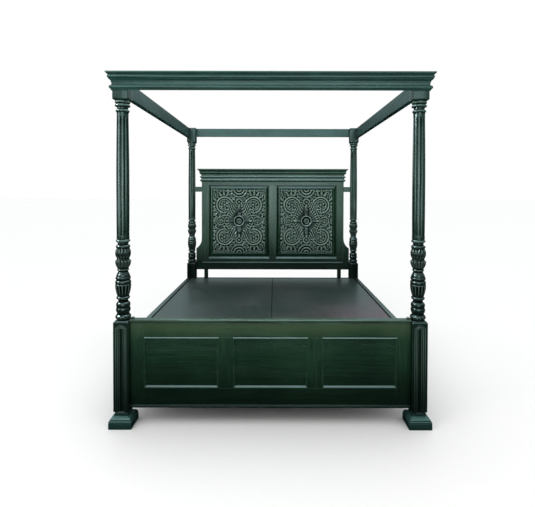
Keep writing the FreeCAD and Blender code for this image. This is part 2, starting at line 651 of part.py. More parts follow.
def headboard_wing(sign):
    """Short side board whose top sweeps up to the stile in a hollow curve."""
    inner = HEADBOARD_HALF_WIDTH
    y0, y1 = HB_FRONT + HB_STEP_DEPTH, WING_BACK
    end_x = inner + WING_TIP
    # circle that leaves the stile straight down and passes through the wing's outer corner
    across, down = WING_OUTER - end_x, WING_SWEEP_TOP - WING_TOP
    radius = (across ** 2 + down ** 2) / (2 * across)
    half_turn = math.asin(down / radius) / 2
    sweep_mid = V(end_x + radius * (1 - math.cos(half_turn)), y0,
                  WING_SWEEP_TOP - radius * math.sin(half_turn))
    points = [V(inner, y0, HB_BASE), V(WING_OUTER, y0, HB_BASE), V(WING_OUTER, y0, WING_TOP),
              V(end_x, y0, WING_SWEEP_TOP), V(inner, y0, WING_SWEEP_TOP)]
    edges = [Part.LineSegment(points[0], points[1]).toShape(),
             Part.LineSegment(points[1], points[2]).toShape(),
             Part.Arc(points[2], sweep_mid, points[3]).toShape(),
             Part.LineSegment(points[3], points[4]).toShape(),
             Part.LineSegment(points[4], points[0]).toShape()]
    wing = Part.Face(Part.Wire(edges)).extrude(V(0, y1 - y0, 0))
    return wing if sign > 0 else mirrored_x(wing)


def spacer_block(sign):
    """Block from the stile to the post, hollowed to sit round the shaft."""
    block = board(sign * HEADBOARD_HALF_WIDTH, sign * SPACER_END, HB_FRONT + 2, HB_BACK - 2,
                  SPACER_LOW, SPACER_HIGH, "x")
    seat = Part.makeCylinder(SPACER_SEAT, SPACER_HIGH - SPACER_LOW, V(sign * POST_X, Y_HEAD, SPACER_LOW))
    return block.cut(seat)


def ledge_cutter(x0, x1):
    """Tool for the bevel on the bottom rail's upper front edge under one panel."""
    top = HB_OPENING_LOW
    corners = [V(x0, HB_FRONT, top - HB_LEDGE_HEIGHT), V(x0, HB_FRONT + HB_LEDGE_DEPTH, top),
               V(x0, HB_FRONT, top)]
    side = Part.Face(Part.makePolygon(corners + corners[:1]))
    return side.extrude(V(x1 - x0, 0, 0))


def carved_panel(x0, x1):
    """Slab with the block for its carving, inside the panel's bevelled frame."""
    slab = box(x0, x1, HB_PANEL_FACE, HB_PANEL_BACK, HB_OPENING_LOW, HB_OPENING_TOP)
    margin = HB_FRAME_WIDTH
    field = box(x0 + margin, x1 - margin, HB_PANEL_FACE - HB_RELIEF, HB_PANEL_FACE,
                HB_OPENING_LOW + margin, HB_OPENING_TOP - margin)
    return slab.fuse(field)


def make_headboard():
    inner = HEADBOARD_HALF_WIDTH - HB_STILE
    half_muntin = HB_MUNTIN / 2
    node("headboard_cornice", headboard_cornice())
    node("headboard_top_rail",
         board(-inner, inner, HB_FRONT, HB_BACK, HB_OPENING_TOP, HB_FRAME_TOP, "x", SHARP_ARRIS))
    node("headboard_muntin",
         board(-half_muntin, half_muntin, HB_FRONT, HB_BACK, HB_OPENING_LOW, HB_OPENING_TOP,
               "z", SHARP_ARRIS))

    bottom_rail = box(-inner, inner, HB_FRONT, HB_BACK, HB_BASE, HB_OPENING_LOW)
    frame_bars = []
    for side, sign in SIDES:
        x0, x1 = sorted((sign * half_muntin, sign * inner))
        bottom_rail = bottom_rail.cut(ledge_cutter(x0, x1))
        frame_bars += picture_frame(x0, x1, HB_OPENING_LOW, HB_OPENING_TOP, HB_PANEL_FACE,
                                    HB_PANEL_FRAME, HB_FRAME_WIDTH)
        node("headboard_panel_" + side, carved_panel(x0, x1))
        node("headboard_stile_" + side, headboard_stile(sign))
        node("headboard_wing_" + side, headboard_wing(sign))
    node("headboard_bottom_rail", bottom_rail)
    node("headboard_panel_frames", *frame_bars)
    node("headboard_lower_rail",
         box(-INNER_X, INNER_X, HB_FRONT, HB_LOWER_RAIL_BACK, HB_LOWER_RAIL_LOW, HB_BASE))
    node("headboard_base_moulding",
         front_moulding(HB_BASE_MOULDING, HEADBOARD_HALF_WIDTH - HB_BASE_INSET, HB_FRONT))
    node("headboard_spacer_blocks", *[spacer_block(sign) for _, sign in SIDES])


# ------------------------------------------------------------------ canopy
CORNICE_LOW = 2027.0
DOWEL_RADIUS = 5.0
DOWEL_HALF = 25.0
DOWEL_HEIGHTS = (HEIGHT - 25, HEIGHT - 65)

CORNICE = [
    (0, CORNICE_LOW, 0), (5, CORNICE_LOW, 0), (8, 2034, 0), (8, 2056, 7),  # bottom bead
    (4, 2059, 0), (3, 2060, 0), (4, 2074, 0), (6, 2077, 0),                # flat band
    (17, 2091, -3), (19, 2093, 0), (17, 2096, 0),                          # hollow and its groove
    (20, 2098, 0), (20, 2113, 2.5), (19, 2117, 0),                         # rounded fascia
    (25, 2121, 1), (CORNICE_OUT, 2127, 0), (CORNICE_OUT, HEIGHT, 0),       # top fillet
]


def canopy_rails():
    """Boards between the top blocks, flush with the posts' outer faces."""
    low = HEIGHT - CANOPY_RAIL_HEIGHT
    front_face, back_face = Y_FOOT - HALF_BLOCK, Y_HEAD + HALF_BLOCK
    rails = {
        "canopy_front_rail": board(-INNER_X, INNER_X, front_face, front_face + CANOPY_BOARD,
                                   low, HEIGHT, "x"),
        "canopy_back_rail": board(-INNER_X, INNER_X, back_face - CANOPY_BOARD, back_face,
                                  HEIGHT - CANOPY_BACK_RAIL_HEIGHT, HEIGHT, "x"),
    }
    for side, sign in SIDES:
        rails["canopy_side_rail_" + side] = board(
            sign * (OUTER_X - CANOPY_BOARD), sign * OUTER_X,
            Y_FOOT + HALF_BLOCK, Y_HEAD - HALF_BLOCK, low, HEIGHT, "y")
    return rails


def canopy_dowel_solids():
    """Two dowels at each end of each canopy rail."""
    dowels = []
    for sign in (-1, 1):
        for z in DOWEL_HEIGHTS:
            for y in (Y_FOOT - HALF_BLOCK + CANOPY_BOARD / 2, Y_HEAD + HALF_BLOCK - CANOPY_BOARD / 2):
                dowels.append(Part.makeCylinder(DOWEL_RADIUS, 2 * DOWEL_HALF,
                                                V(sign * INNER_X - DOWEL_HALF, y, z), V(1, 0, 0)))
            x = sign * (OUTER_X - CANOPY_BOARD / 2)
            for y in (Y_FOOT + HALF_BLOCK, Y_HEAD - HALF_BLOCK):
                dowels.append(Part.makeCylinder(DOWEL_RADIUS, 2 * DOWEL_HALF,
                                                V(x, y - DOWEL_HALF, z), V(0, 1, 0)))
    return dowels


def make_canopy():
    dowels = Part.makeCompound(canopy_dowel_solids())
    for name, rail in canopy_rails().items():
        node(name, rail.cut(dowels))

    front_face, back_face = Y_FOOT - HALF_BLOCK, Y_HEAD + HALF_BLOCK
    reach = 2 * CORNICE_OUT
    front = moulding_run(CORNICE, V(-OUTER_X - reach, front_face, 0), V(OUTER_X + reach, front_face, 0),
                         V(0, -1, 0))
    wedge = Part.Face(Part.makePolygon([
        V(-OUTER_X, front_face, 0), V(OUTER_X, front_face, 0),
        V(OUTER_X + reach, front_face - reach, 0), V(-OUTER_X - reach, front_face - reach, 0),
        V(-OUTER_X, front_face, 0)])).extrude(V(0, 0, HEIGHT + 10))
    node("canopy_front_cornice", front.common(wedge))

    side_run = moulding_run(CORNICE, V(OUTER_X, front_face - reach, 0), V(OUTER_X, back_face, 0),
                            V(1, 0, 0))
    side_wedge = Part.Face(Part.makePolygon([
        V(OUTER_X, front_face, 0), V(OUTER_X + reach, front_face - reach, 0),
        V(OUTER_X + reach, back_face, 0), V(OUTER_X, back_face, 0),
        V(OUTER_X, front_face, 0)])).extrude(V(0, 0, HEIGHT + 10))
    right = side_run.common(side_wedge)
    node("canopy_side_cornice_right", right)
    node("canopy_side_cornice_left", mirrored_x(right))


# ------------------------------------------------------------------ build and write
make_posts()
make_side_frame()
make_deck()
make_footboard()
make_headboard()
make_canopy()

os.makedirs("parts", exist_ok=True)
for name, shape in NODES.items():
    shape.exportStep("parts/" + name + ".step")

outline = Part.makeCompound(list(NODES.values())).BoundBox
print(len(NODES), "nodes")
print("X %.1f..%.1f  Y %.1f..%.1f  Z %.1f..%.1f" % (
    outline.XMin, outline.XMax, outline.YMin, outline.YMax, outline.ZMin, outline.ZMax))
for name, shape in NODES.items():
    if not shape.isValid() or shape.Volume <= 0:
        print("bad solid:", name)
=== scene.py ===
import math

import bpy
import numpy as np
from mathutils import Euler, Matrix, Vector


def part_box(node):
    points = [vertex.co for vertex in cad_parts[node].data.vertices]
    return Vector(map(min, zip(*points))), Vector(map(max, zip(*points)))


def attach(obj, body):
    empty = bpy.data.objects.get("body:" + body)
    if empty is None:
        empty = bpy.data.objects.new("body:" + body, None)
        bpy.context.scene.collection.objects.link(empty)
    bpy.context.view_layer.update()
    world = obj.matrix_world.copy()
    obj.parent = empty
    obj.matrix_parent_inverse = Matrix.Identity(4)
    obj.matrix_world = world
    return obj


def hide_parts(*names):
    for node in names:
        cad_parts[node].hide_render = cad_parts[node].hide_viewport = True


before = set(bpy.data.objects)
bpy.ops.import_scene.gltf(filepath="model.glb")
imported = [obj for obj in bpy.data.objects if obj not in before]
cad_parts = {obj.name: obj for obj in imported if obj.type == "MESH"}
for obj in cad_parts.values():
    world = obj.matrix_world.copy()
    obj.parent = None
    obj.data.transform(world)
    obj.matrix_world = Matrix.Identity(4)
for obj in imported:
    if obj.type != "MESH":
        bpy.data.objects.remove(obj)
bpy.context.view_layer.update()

MM = 0.001
TAU = 2 * math.pi

SCENE = bpy.context.scene
SIDES = (("left", -1), ("right", 1))

# Places that come from the frame, in millimetres.
LEFT_BACK_LOW, LEFT_BACK_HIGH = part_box("post_lower_back_left")
LEFT_FRONT_LOW, LEFT_FRONT_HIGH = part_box("post_lower_front_left")
UPPER_LOW, UPPER_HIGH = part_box("post_upper_front_left")
HALF_BLOCK = (LEFT_FRONT_HIGH.x - LEFT_FRONT_LOW.x) / 2 / MM
POST_X = -(LEFT_FRONT_HIGH.x + LEFT_FRONT_LOW.x) / 2 / MM
POST_Y = {
    "front": (LEFT_FRONT_HIGH.y + LEFT_FRONT_LOW.y) / 2 / MM,
    "back": (LEFT_BACK_HIGH.y + LEFT_BACK_LOW.y) / 2 / MM,
}
JOINT = UPPER_LOW.z / MM        # where the upper posts stand on the lower posts
HEIGHT = UPPER_HIGH.z / MM


# ------------------------------------------------------------------ camera
CAMERA_PLACE = (0.0264, -3.5657, 1.4159)
CAMERA_PITCH, CAMERA_ROLL = 0.0148, 0.002       # radians, downwards and about its own axis
LENS, SENSOR_WIDTH = 27.87, 36
SHIFT_X, SHIFT_Y = -0.0142, -0.1015
CLIP_END = 300


def make_camera():
    data = bpy.data.cameras.new("camera")
    camera = bpy.data.objects.new("camera", data)
    SCENE.collection.objects.link(camera)
    camera.location = CAMERA_PLACE
    tilt = Euler((math.radians(90) - CAMERA_PITCH, 0, 0)).to_matrix()
    camera.rotation_euler = (tilt @ Matrix.Rotation(CAMERA_ROLL, 3, "Z")).to_euler()
    data.lens = LENS
    data.sensor_width = SENSOR_WIDTH
    data.shift_x = SHIFT_X
    data.shift_y = SHIFT_Y
    data.clip_end = CLIP_END
    SCENE.camera = camera


# ------------------------------------------------------------------ node helpers
class Nodes:
    """Short calls that add shader nodes to one node tree."""

    def __init__(self, tree):
        self.tree = tree

    def add(self, kind):
        return self.tree.nodes.new("ShaderNode" + kind)

    def link(self, source, target):
        self.tree.links.new(source, target)

    def put(self, socket, value):
        if isinstance(value, bpy.types.NodeSocket):
            self.link(value, socket)
        else:
            socket.default_value = value

    def split(self, vector):
        node = self.add("SeparateXYZ")
        self.link(vector, node.inputs["Vector"])
        return node.outputs

    def ramp(self, value, low, high, out_low=0.0, out_high=1.0):
        node = self.add("MapRange")
        node.interpolation_type = "SMOOTHSTEP"
        self.link(value, node.inputs["Value"])
        node.inputs["From Min"].default_value = low
        node.inputs["From Max"].default_value = high
        node.inputs["To Min"].default_value = out_low
        node.inputs["To Max"].default_value = out_high
        return node.outputs["Result"]

    def math(self, operation, a, b=0.0):
        node = self.add("Math")
        node.operation = operation
        self.put(node.inputs[0], a)
        self.put(node.inputs[1], b)
        return node.outputs["Value"]

    def mix(self, factor, a, b, kind="RGBA"):
        node = self.add("Mix")
        node.data_type = kind
        self.put(node.inputs["Factor"], factor)
        self.put(node.inputs["A"], a)
        self.put(node.inputs["B"], b)
        return node.outputs["Result"]


class Finish(Nodes):
    """The nodes of one new material; x, y and z are places on the object, in metres."""

    def __init__(self, name):
        self.material = bpy.data.materials.new(name)
        self.material.use_nodes = True
        super().__init__(self.material.node_tree)
        self.shader = self.tree.nodes["Principled BSDF"]
        self.place = self.add("TexCoord").outputs["Object"]
        self.x, self.y, self.z = self.split(self.place)

    def mapping(self, scale):
        node = self.add("Mapping")
        self.link(self.place, node.inputs["Vector"])
        node.inputs["Scale"].default_value = scale
        return node.outputs["Vector"]

    def noise(self, vector, scale=1.0, detail=3.0, roughness=0.55, distortion=0.0):
        node = self.add("TexNoise")
        self.link(vector, node.inputs["Vector"])
        node.inputs["Scale"].default_value = scale
        node.inputs["Detail"].default_value = detail
        node.inputs["Roughness"].default_value = roughness
        node.inputs["Distortion"].default_value = distortion
        return node.outputs["Fac"]

    def attribute(self, name):
        node = self.add("Attribute")
        node.attribute_name = name
        return node.outputs["Fac"]

    def edge(self, radius):
        """0 on flat faces, rising towards 1 within radius of an edge."""
        bevel = self.add("Bevel")
        bevel.samples = 4
        bevel.inputs["Radius"].default_value = radius
        geometry = self.add("NewGeometry")
        dot = self.add("VectorMath")
        dot.operation = "DOT_PRODUCT"
        self.link(bevel.outputs["Normal"], dot.inputs[0])
        self.link(geometry.outputs["Normal"], dot.inputs[1])
        return self.ramp(dot.outputs["Value"], 0.999, 0.9)

    def facing_up(self):
        """1 on faces that look up, 0 on upright ones."""
        return self.split(self.add("NewGeometry").outputs["Normal"])["Z"]

    def open_sky(self, reach):
        """1 on open faces, falling towards 0 in gaps and hollows narrower than reach."""
        node = self.add("AmbientOcclusion")
        node.samples = 6
        node.inputs["Distance"].default_value = reach
        return node.outputs["AO"]

    def bump(self, height, distance):
        node = self.add("Bump")
        node.inputs["Distance"].default_value = distance
        self.link(height, node.inputs["Height"])
        return node.outputs["Normal"]

    def surface(self, **values):
        for name, value in values.items():
            socket = name.replace("_", " ").title().replace("Ior", "IOR")
            self.put(self.shader.inputs[socket], value)


def srgb(red, green, blue):
    """Linear colour with alpha from 0-255 screen values."""
    channels = []
    for value in (red, green, blue):
        value /= 255
        channels.append(value / 12.92 if value <= 0.04045 else ((value + 0.055) / 1.055) ** 2.4)
    return (*channels, 1.0)


# ------------------------------------------------------------------ materials
EVEN = (1, 1, 1)
STRETCH = {"x": (0.07, 1, 1), "y": (1, 0.07, 1), "z": (1, 1, 0.07)}

GREEN = ((17, 50, 29), (27, 62, 38))
GRAIN_DARK = (9, 25, 17)
PORE_DARK = (5, 13, 9)
# painted shade for gaps and hollows; also darkens the turned parts of the carved posts
HOLLOW_DARK = (3, 7, 5)
# painted shade low on the bed
PAINTED_LOW_SHADE = (3, 9, 6)
# edge colour: wear plus a painted highlight
WORN_AND_HIGHLIT_EDGE = (98, 120, 108)
COOL_SHINE = (215, 240, 238)
# painted highlight colour for faces that look up
PAINTED_UPWARD_HIGHLIGHT = (124, 150, 150)

# Each pair is the two heights, in metres, between which a tone comes in.
BLOCK_TOP = (0.61, 0.65)        # over the shoulders of the posts' square blocks
# painted sheen band
PAINTED_SHEEN_BAND = (0.57, 0.69)       # along the top of the footboard
FLOOR_SHADE = (0.16, 0.62)      # from the darkest part up, at the foot of the bed

SHADE_RISE = 0.2                # metres that the floor's shade rises for each metre to the head
FOOT_END = -1.1                 # where that rise starts, on the y axis
HOLLOW_SPAN = 0.34              # how far under the crests' ridge values hollows are darkest


def along(axis, scale):
    """Mapping scale that draws a pattern out along one axis."""
    return tuple(scale * part for part in STRETCH[axis])


def lacquer(name, axis, reach=0.018, crest_tone=None, crests=(0.54, 0.82), sheen=(0.2, 0.3),
            tones=GREEN, low_dark=0.85, turned_dark=0.0, painted_top_light=None, painted_sheen_tone=None):
    """Satin lacquer over open-grained timber, with painted shade in its hollows and, on its edges,
    wear plus a painted highlight.

    With crest_tone, the mesh's ridge attribute deepens the painted shade in hollows and paints a
    highlight, partly standing for wear, on crests; crests is the range of ridge over which they
    lighten.  low_dark paints shade on the bed towards the floor and turned_dark darkens the turned
    parts over the posts' square blocks.  painted_top_light is a painted highlight on upward faces
    and painted_sheen_tone a painted sheen along the top of the footboard.
    """
    n = Finish(name)
    cloud = n.noise(n.mapping(EVEN), 2.6, 3)
    streak = n.noise(n.mapping(along(axis, 62)), 1.0, 6, 0.62, 0.4)
    pores = n.noise(n.mapping(along(axis, 700)), 1.0, 2, 0.5)
    smear = n.noise(n.mapping(along(axis, 14)), 1.0, 3, 0.5, 0.8)
    open_sky = n.open_sky(reach)
    # hollow: 1 where occlusion says shade falls; it drives the painted shade and a duller shine
    hollow = n.ramp(open_sky, 0.2, 0.75, 1.0, 0.0)
    if crest_tone:
        ridge = n.attribute("ridge")
        low_ridge = n.ramp(ridge, crests[0] - HOLLOW_SPAN, crests[0], 1.0, 0.0)
        hollow = n.math("MAXIMUM", hollow, low_ridge)

    tone = n.mix(n.ramp(cloud, 0.3, 0.7), srgb(*tones[0]), srgb(*tones[1]))
    tone = n.mix(n.ramp(streak, 0.35, 0.7, 0.0, 0.55), tone, srgb(*GRAIN_DARK))
    tone = n.mix(n.ramp(pores, 0.62, 0.72, 0.0, 0.4), tone, srgb(*PORE_DARK))
    # wear plus a painted highlight: open, convex edges are lightened in patches
    edge_wear_and_highlight = n.math("MULTIPLY", n.edge(0.003), n.ramp(open_sky, 0.6, 0.9))
    patchy_wear_and_highlight = n.math("MULTIPLY", edge_wear_and_highlight, n.ramp(smear, 0.4, 0.6, 0.35, 0.8))
    tone = n.mix(patchy_wear_and_highlight, tone, srgb(*WORN_AND_HIGHLIT_EDGE))
    # painted highlight, partly standing for wear: carved crests are lightened, less so below the
    # blocks' shoulders
    if crest_tone:
        over_block = n.ramp(n.z, *BLOCK_TOP, 0.4, 1.0)
        on_crest = n.math("MULTIPLY", n.ramp(ridge, *crests), over_block)
        tone = n.mix(on_crest, tone, srgb(*crest_tone))
    # painted sheen: the top of the footboard is lightened, fading downwards
    if painted_sheen_tone:
        uneven = n.math("ADD", n.z, n.math("MULTIPLY", cloud, 0.14))
        tone = n.mix(n.ramp(uneven, *PAINTED_SHEEN_BAND, 0.0, 0.95), tone, srgb(*painted_sheen_tone))
    # painted highlight: faces that look up are lightened
    if painted_top_light:
        tone = n.mix(n.ramp(n.facing_up(), 0.3, 0.6, 0.0, 0.85), tone, srgb(*painted_top_light))
    # painted shade: hollows and narrow gaps are darkened
    tone = n.mix(n.math("MULTIPLY", hollow, 0.9), tone, srgb(*HOLLOW_DARK))
    # painted shade: the bed darkens towards the floor, reaching higher towards the head
    drop = n.math("MULTIPLY", n.math("ADD", n.y, -FOOT_END), SHADE_RISE)
    height = n.math("ADD", n.math("SUBTRACT", n.z, drop), n.math("MULTIPLY", cloud, 0.1))
    low_shade_mask = n.ramp(height, *FLOOR_SHADE, low_dark, 0.0)
    tone = n.mix(low_shade_mask, tone, srgb(*PAINTED_LOW_SHADE))
    tone = n.mix(n.ramp(n.z, *BLOCK_TOP, 0.0, turned_dark), tone, srgb(*HOLLOW_DARK))

    rough = n.math("ADD", n.ramp(smear, 0.3, 0.7, *sheen), n.ramp(pores, 0.6, 0.75, 0.0, 0.15))
    relief = n.math("SUBTRACT", n.math("MULTIPLY", streak, 0.5),
                    n.ramp(pores, 0.6, 0.74, 0.0, 0.35))
    shine = n.math("MULTIPLY", n.ramp(hollow, 0.0, 1.0, 0.6, 0.04),
                   n.ramp(low_shade_mask, 0.0, 1.0, 1.0, 0.2))
    n.surface(base_color=tone, roughness=rough, specular_ior_level=shine,
              specular_tint=srgb(*COOL_SHINE), normal=n.bump(relief, 0.00025))
    return n.material


def deck_lacquer():
    """Dark semi-gloss board, purple towards the front right corner, with a dark seam."""
    n = Finish("deck_lacquer")
    cloud = n.noise(n.mapping(EVEN), 1.7, 3)
    streak = n.noise(n.mapping(along("y", 45)), 1.0, 5, 0.6, 0.3)
    dust = n.noise(n.mapping(EVEN), 420, 2)
    tone = n.mix(n.ramp(cloud, 0.35, 0.65), srgb(36, 50, 46), srgb(42, 48, 46))
    to_corner = n.math("SUBTRACT", n.math("ADD", n.x, n.math("MULTIPLY", cloud, 0.5)), n.y)
    tone = n.mix(n.ramp(to_corner, 0.5, 1.9, 0.0, 0.9), tone, srgb(88, 56, 70))
    seam = n.ramp(n.math("ABSOLUTE", n.x), 0.002, 0.007, 0.9, 0.0)
    tone = n.mix(n.ramp(streak, 0.4, 0.7, 0.0, 0.5), tone, srgb(28, 34, 32))
    tone = n.mix(n.math("MULTIPLY", n.edge(0.002), 0.5), tone, srgb(96, 98, 94))
    tone = n.mix(seam, tone, srgb(4, 7, 6))
    rough = n.ramp(cloud, 0.3, 0.7, 0.30, 0.42)
    relief = n.math("ADD", streak, n.math("MULTIPLY", dust, 0.3))
    n.surface(base_color=tone, roughness=rough, specular_ior_level=0.5,
              normal=n.bump(relief, 0.00025))
    return n.material


def plain_timber(name, light, dark, axis):
    """Sawn softwood: stained for the hidden supports, bare for the dowels."""
    n = Finish(name)
    rings = n.noise(n.mapping(along(axis, 38)), 1.0, 5, 0.6, 0.8)
    fibre = n.noise(n.mapping(along(axis, 520)), 1.0, 3, 0.6)
    tone = n.mix(n.ramp(rings, 0.38, 0.62), light, dark)
    tone = n.mix(n.ramp(fibre, 0.45, 0.7, 0.0, 0.35), tone, dark)
    tone = n.mix(n.math("MULTIPLY", n.edge(0.002), 0.4), tone, light)
    n.surface(base_color=tone, roughness=n.ramp(fibre, 0.3, 0.7, 0.55, 0.8),
              specular_ior_level=0.35, normal=n.bump(n.math("ADD", rings, fibre), 0.0005))
    return n.material


def steel():
    """Zinc-plated fittings."""
    n = Finish("steel_fittings")
    cloud = n.noise(n.mapping(EVEN), 60, 4)
    brushed = n.noise(n.mapping((40, 900, 900)), 1.0, 3)
    tone = n.mix(n.ramp(cloud, 0.35, 0.65), srgb(150, 152, 150), srgb(118, 121, 122))
    n.surface(base_color=tone, roughness=n.ramp(cloud, 0.3, 0.7, 0.28, 0.5),
              normal=n.bump(brushed, 0.0001), metallic=1.0)
    return n.material


def floor_material():
    n = Finish("studio_floor")
    grain = n.noise(n.mapping(EVEN), 30, 3)
    n.surface(base_color=n.mix(grain, srgb(234, 234, 233), srgb(238, 238, 237)),
              roughness=n.ramp(grain, 0.3, 0.7, 0.6, 0.7), specular_ior_level=0.2)
    return n.material


LACQUER = {axis: lacquer("frame_lacquer_" + axis, axis) for axis in "xyz"}
BEVEL = lacquer("bevel_lacquer", "x", reach=0.005, sheen=(0.14, 0.2), low_dark=0.4,
                painted_top_light=PAINTED_UPWARD_HIGHLIGHT)
FOOTBOARD = {axis: lacquer("footboard_lacquer_" + axis, axis, painted_sheen_tone=(56, 76, 50))
             for axis in "xz"}
MOULDING = lacquer("moulding_lacquer", "x", reach=0.014, sheen=(0.14, 0.2), low_dark=0.5,
                   painted_top_light=PAINTED_UPWARD_HIGHLIGHT)
# lighter, bluer copy of the frame lacquer: painted light on the canopy
CANOPY = {axis: lacquer("canopy_lacquer_" + axis, axis, tones=((24, 60, 54), (38, 76, 70)))
          for axis in "xy"}
# lighter copy of the lacquer: painted highlight on the footboard's cap
CAP = lacquer("cap_lacquer", "x", tones=((46, 66, 48), (62, 84, 68)))
SIDE_RAIL = lacquer("side_rail_lacquer", "y", painted_top_light=(100, 116, 112))
FOOT = lacquer("foot_lacquer", "x", tones=((12, 42, 38), (20, 56, 52)), low_dark=0.2,
               painted_top_light=(60, 96, 92))
SHAFT = lacquer("shaft_lacquer", "z", reach=0.016, crest_tone=(70, 94, 86), sheen=(0.15, 0.22),
                tones=((15, 37, 27), (22, 46, 36)))
CARVED_POST = lacquer("carved_post_lacquer", "z", reach=0.016, crest_tone=(100, 122, 113),
                      crests=(0.6, 0.86), sheen=(0.12, 0.18), tones=((13, 34, 25), (20, 44, 32)),
                      turned_dark=0.6)
CARVED = lacquer("carved_lacquer", "z", reach=0.012, crest_tone=(122, 146, 132),
                 crests=(0.62, 0.92), sheen=(0.16, 0.24), tones=((9, 25, 18), (14, 33, 25)))
INNER = {axis: plain_timber("inner_timber_" + axis, srgb(60, 72, 60), srgb(33, 42, 35), axis)
         for axis in "xyz"}
DECK = deck_lacquer()
DOWEL = plain_timber("bare_timber", srgb(206, 172, 124), srgb(170, 132, 88), "x")
STEEL = steel()

# The first row that a node's name starts with gives its material.
FINISHES = (
    ("canopy_dowels", DOWEL),
    ("canopy_side_", CANOPY["y"]),
    ("canopy_", CANOPY["x"]),
    ("centre_beam", INNER["y"]),
    ("centre_legs", INNER["z"]),
    ("cross_slats", INNER["x"]),
    ("deck_board_", DECK),
    ("foot_ledger", INNER["x"]),
    ("foot_", FOOT),
    ("footboard_cap_buttons", FOOTBOARD["x"]),
    ("footboard_cap", CAP),
    ("footboard_muntins", FOOTBOARD["z"]),
    ("footboard_panel_mouldings", MOULDING),
    ("footboard_stile_", FOOTBOARD["z"]),
    ("footboard_", FOOTBOARD["x"]),
    ("head_rail", LACQUER["x"]),
    ("headboard_cornice", BEVEL),
    ("headboard_muntin", LACQUER["z"]),
    ("headboard_panel_frames", BEVEL),
    ("headboard_panel_", LACQUER["z"]),
    ("headboard_stile_", LACQUER["z"]),
    ("headboard_wing_", LACQUER["z"]),
    ("headboard_", LACQUER["x"]),
    ("post_joint_studs", STEEL),
    ("post_", LACQUER["z"]),
    ("rail_bracket", STEEL),
    ("rail_ledger_", INNER["y"]),
    ("side_rail_", SIDE_RAIL),
)


def finish_cad_nodes():
    """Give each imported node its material."""
    for name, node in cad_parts.items():
        material = next(finish for start, finish in FINISHES if name.startswith(start))
        node.data.materials.clear()
        node.data.materials.append(material)


# ------------------------------------------------------------------ mesh helpers
def new_piece(name, points, faces, material, ridge, smooth_angle=35):
    """Mesh object from points in millimetres; it rides on the bed's fixed frame.

    ridge is 0 in the carving's hollows and 1 on its crests; the material paints shade and
    highlight from it.
    """
    mesh = bpy.data.meshes.new(name)
    mesh.from_pydata((np.asarray(points) * MM).tolist(), [], faces)
    mesh.update()
    attribute = mesh.attributes.new("ridge", "FLOAT", "POINT")
    attribute.data.foreach_set("value", np.asarray(ridge, np.float32))
    piece = bpy.data.objects.new(name, mesh)
    SCENE.collection.objects.link(piece)
    mesh.materials.append(material)
    for polygon in mesh.polygons:
        polygon.use_smooth = True
    mesh.set_sharp_from_angle(angle=math.radians(smooth_angle))
    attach(piece, "bed_frame")
    return piece


def outline(points, spacing):
    """Points along an outline, its arcs and runs split by spacing.

    Each corner is (radius, height, bulge), and bulge is how far the run to it stands out.
    """
    samples = [points[0][:2]]
    for (a0, z0, _), (a1, z1, bulge) in zip(points, points[1:]):
        chord = math.hypot(a1 - a0, z1 - z0)
        if chord < 1e-6:
            continue
        steps = max(1, math.ceil(chord * (1 + abs(bulge) / chord) / spacing))
        outward = ((z1 - z0) / chord, -(a1 - a0) / chord)
        for step in range(1, steps + 1):
            t = step / steps
            rise = 0.0
            if bulge:
                radius = (chord * chord / 4 + bulge * bulge) / (2 * abs(bulge))
                half = chord / 2
                off = (2 * t - 1) * half
                height = math.sqrt(max(radius * radius - off * off, 0))
                rise = math.copysign(height - (radius - abs(bulge)), bulge)
            samples.append((a0 + (a1 - a0) * t + outward[0] * rise,
                            z0 + (z1 - z0) * t + outward[1] * rise))
    return np.array(samples)


def rings_to_shell(rings):
    """Closed shell from equal rings of points, stacked upwards, with a cap at each end."""
    rings = np.asarray(rings, float)
    rows, around, _ = rings.shape
    faces = []
    for row in range(rows - 1):
        a = row * around
        for step in range(around):
            nxt = (step + 1) % around
            faces.append((a + step, a + nxt, a + around + nxt, a + around + step))
    faces.append(tuple(range(around - 1, -1, -1)))
    last = (rows - 1) * around
    faces.append(tuple(range(last, last + around)))
    return rings.reshape(-1, 3), faces


def join_shells(shells):
    """One shell from several (points, faces, ridge) shells."""
    points, faces, ridges, count = [], [], [], 0
    for shell_points, shell_faces, shell_ridges in shells:
        points.append(shell_points)
        faces += [tuple(index + count for index in face) for face in shell_faces]
        ridges.append(shell_ridges)
        count += len(shell_points)
    return np.concatenate(points), faces, np.concatenate(ridges)


def box_blur(field, reach, axis, wrap):
    """Running mean over 2 * reach + 1 samples."""
    widths = [(reach + 1, reach) if index == axis else (0, 0) for index in range(2)]
    total = np.cumsum(np.pad(field, widths, mode="wrap" if wrap else "edge"), axis)
    size = field.shape[axis]
    ends = np.take(total, np.arange(2 * reach + 1, 2 * reach + 1 + size), axis)
    return (ends - np.take(total, np.arange(size), axis)) / (2 * reach + 1)


def crest(field, rows, columns, scale, wrap=True):
    """0 to 1: how far a height field stands above its surroundings."""
    soft = box_blur(box_blur(field, rows, 0, False), columns, 1, wrap)
    return np.clip(0.5 + (field - soft) / (2 * scale), 0, 1)


def smooth_step(x, low, high):
    t = np.clip((x - low) / (high - low), 0, 1)
    return t * t * (3 - 2 * t)


def dome(offset):
    """Height of a half circle: 1 in the middle, 0 from an offset of 1 outwards."""
    return np.sqrt(np.clip(1 - offset ** 2, 0, 1))


def wave(angle, count, shift=0.0):
    """Sawtooth place inside one of count equal sectors, -1 at its edges and 0 in the middle."""
    turns = angle / TAU * count + shift
    return 2 * (turns - np.floor(turns)) - 1


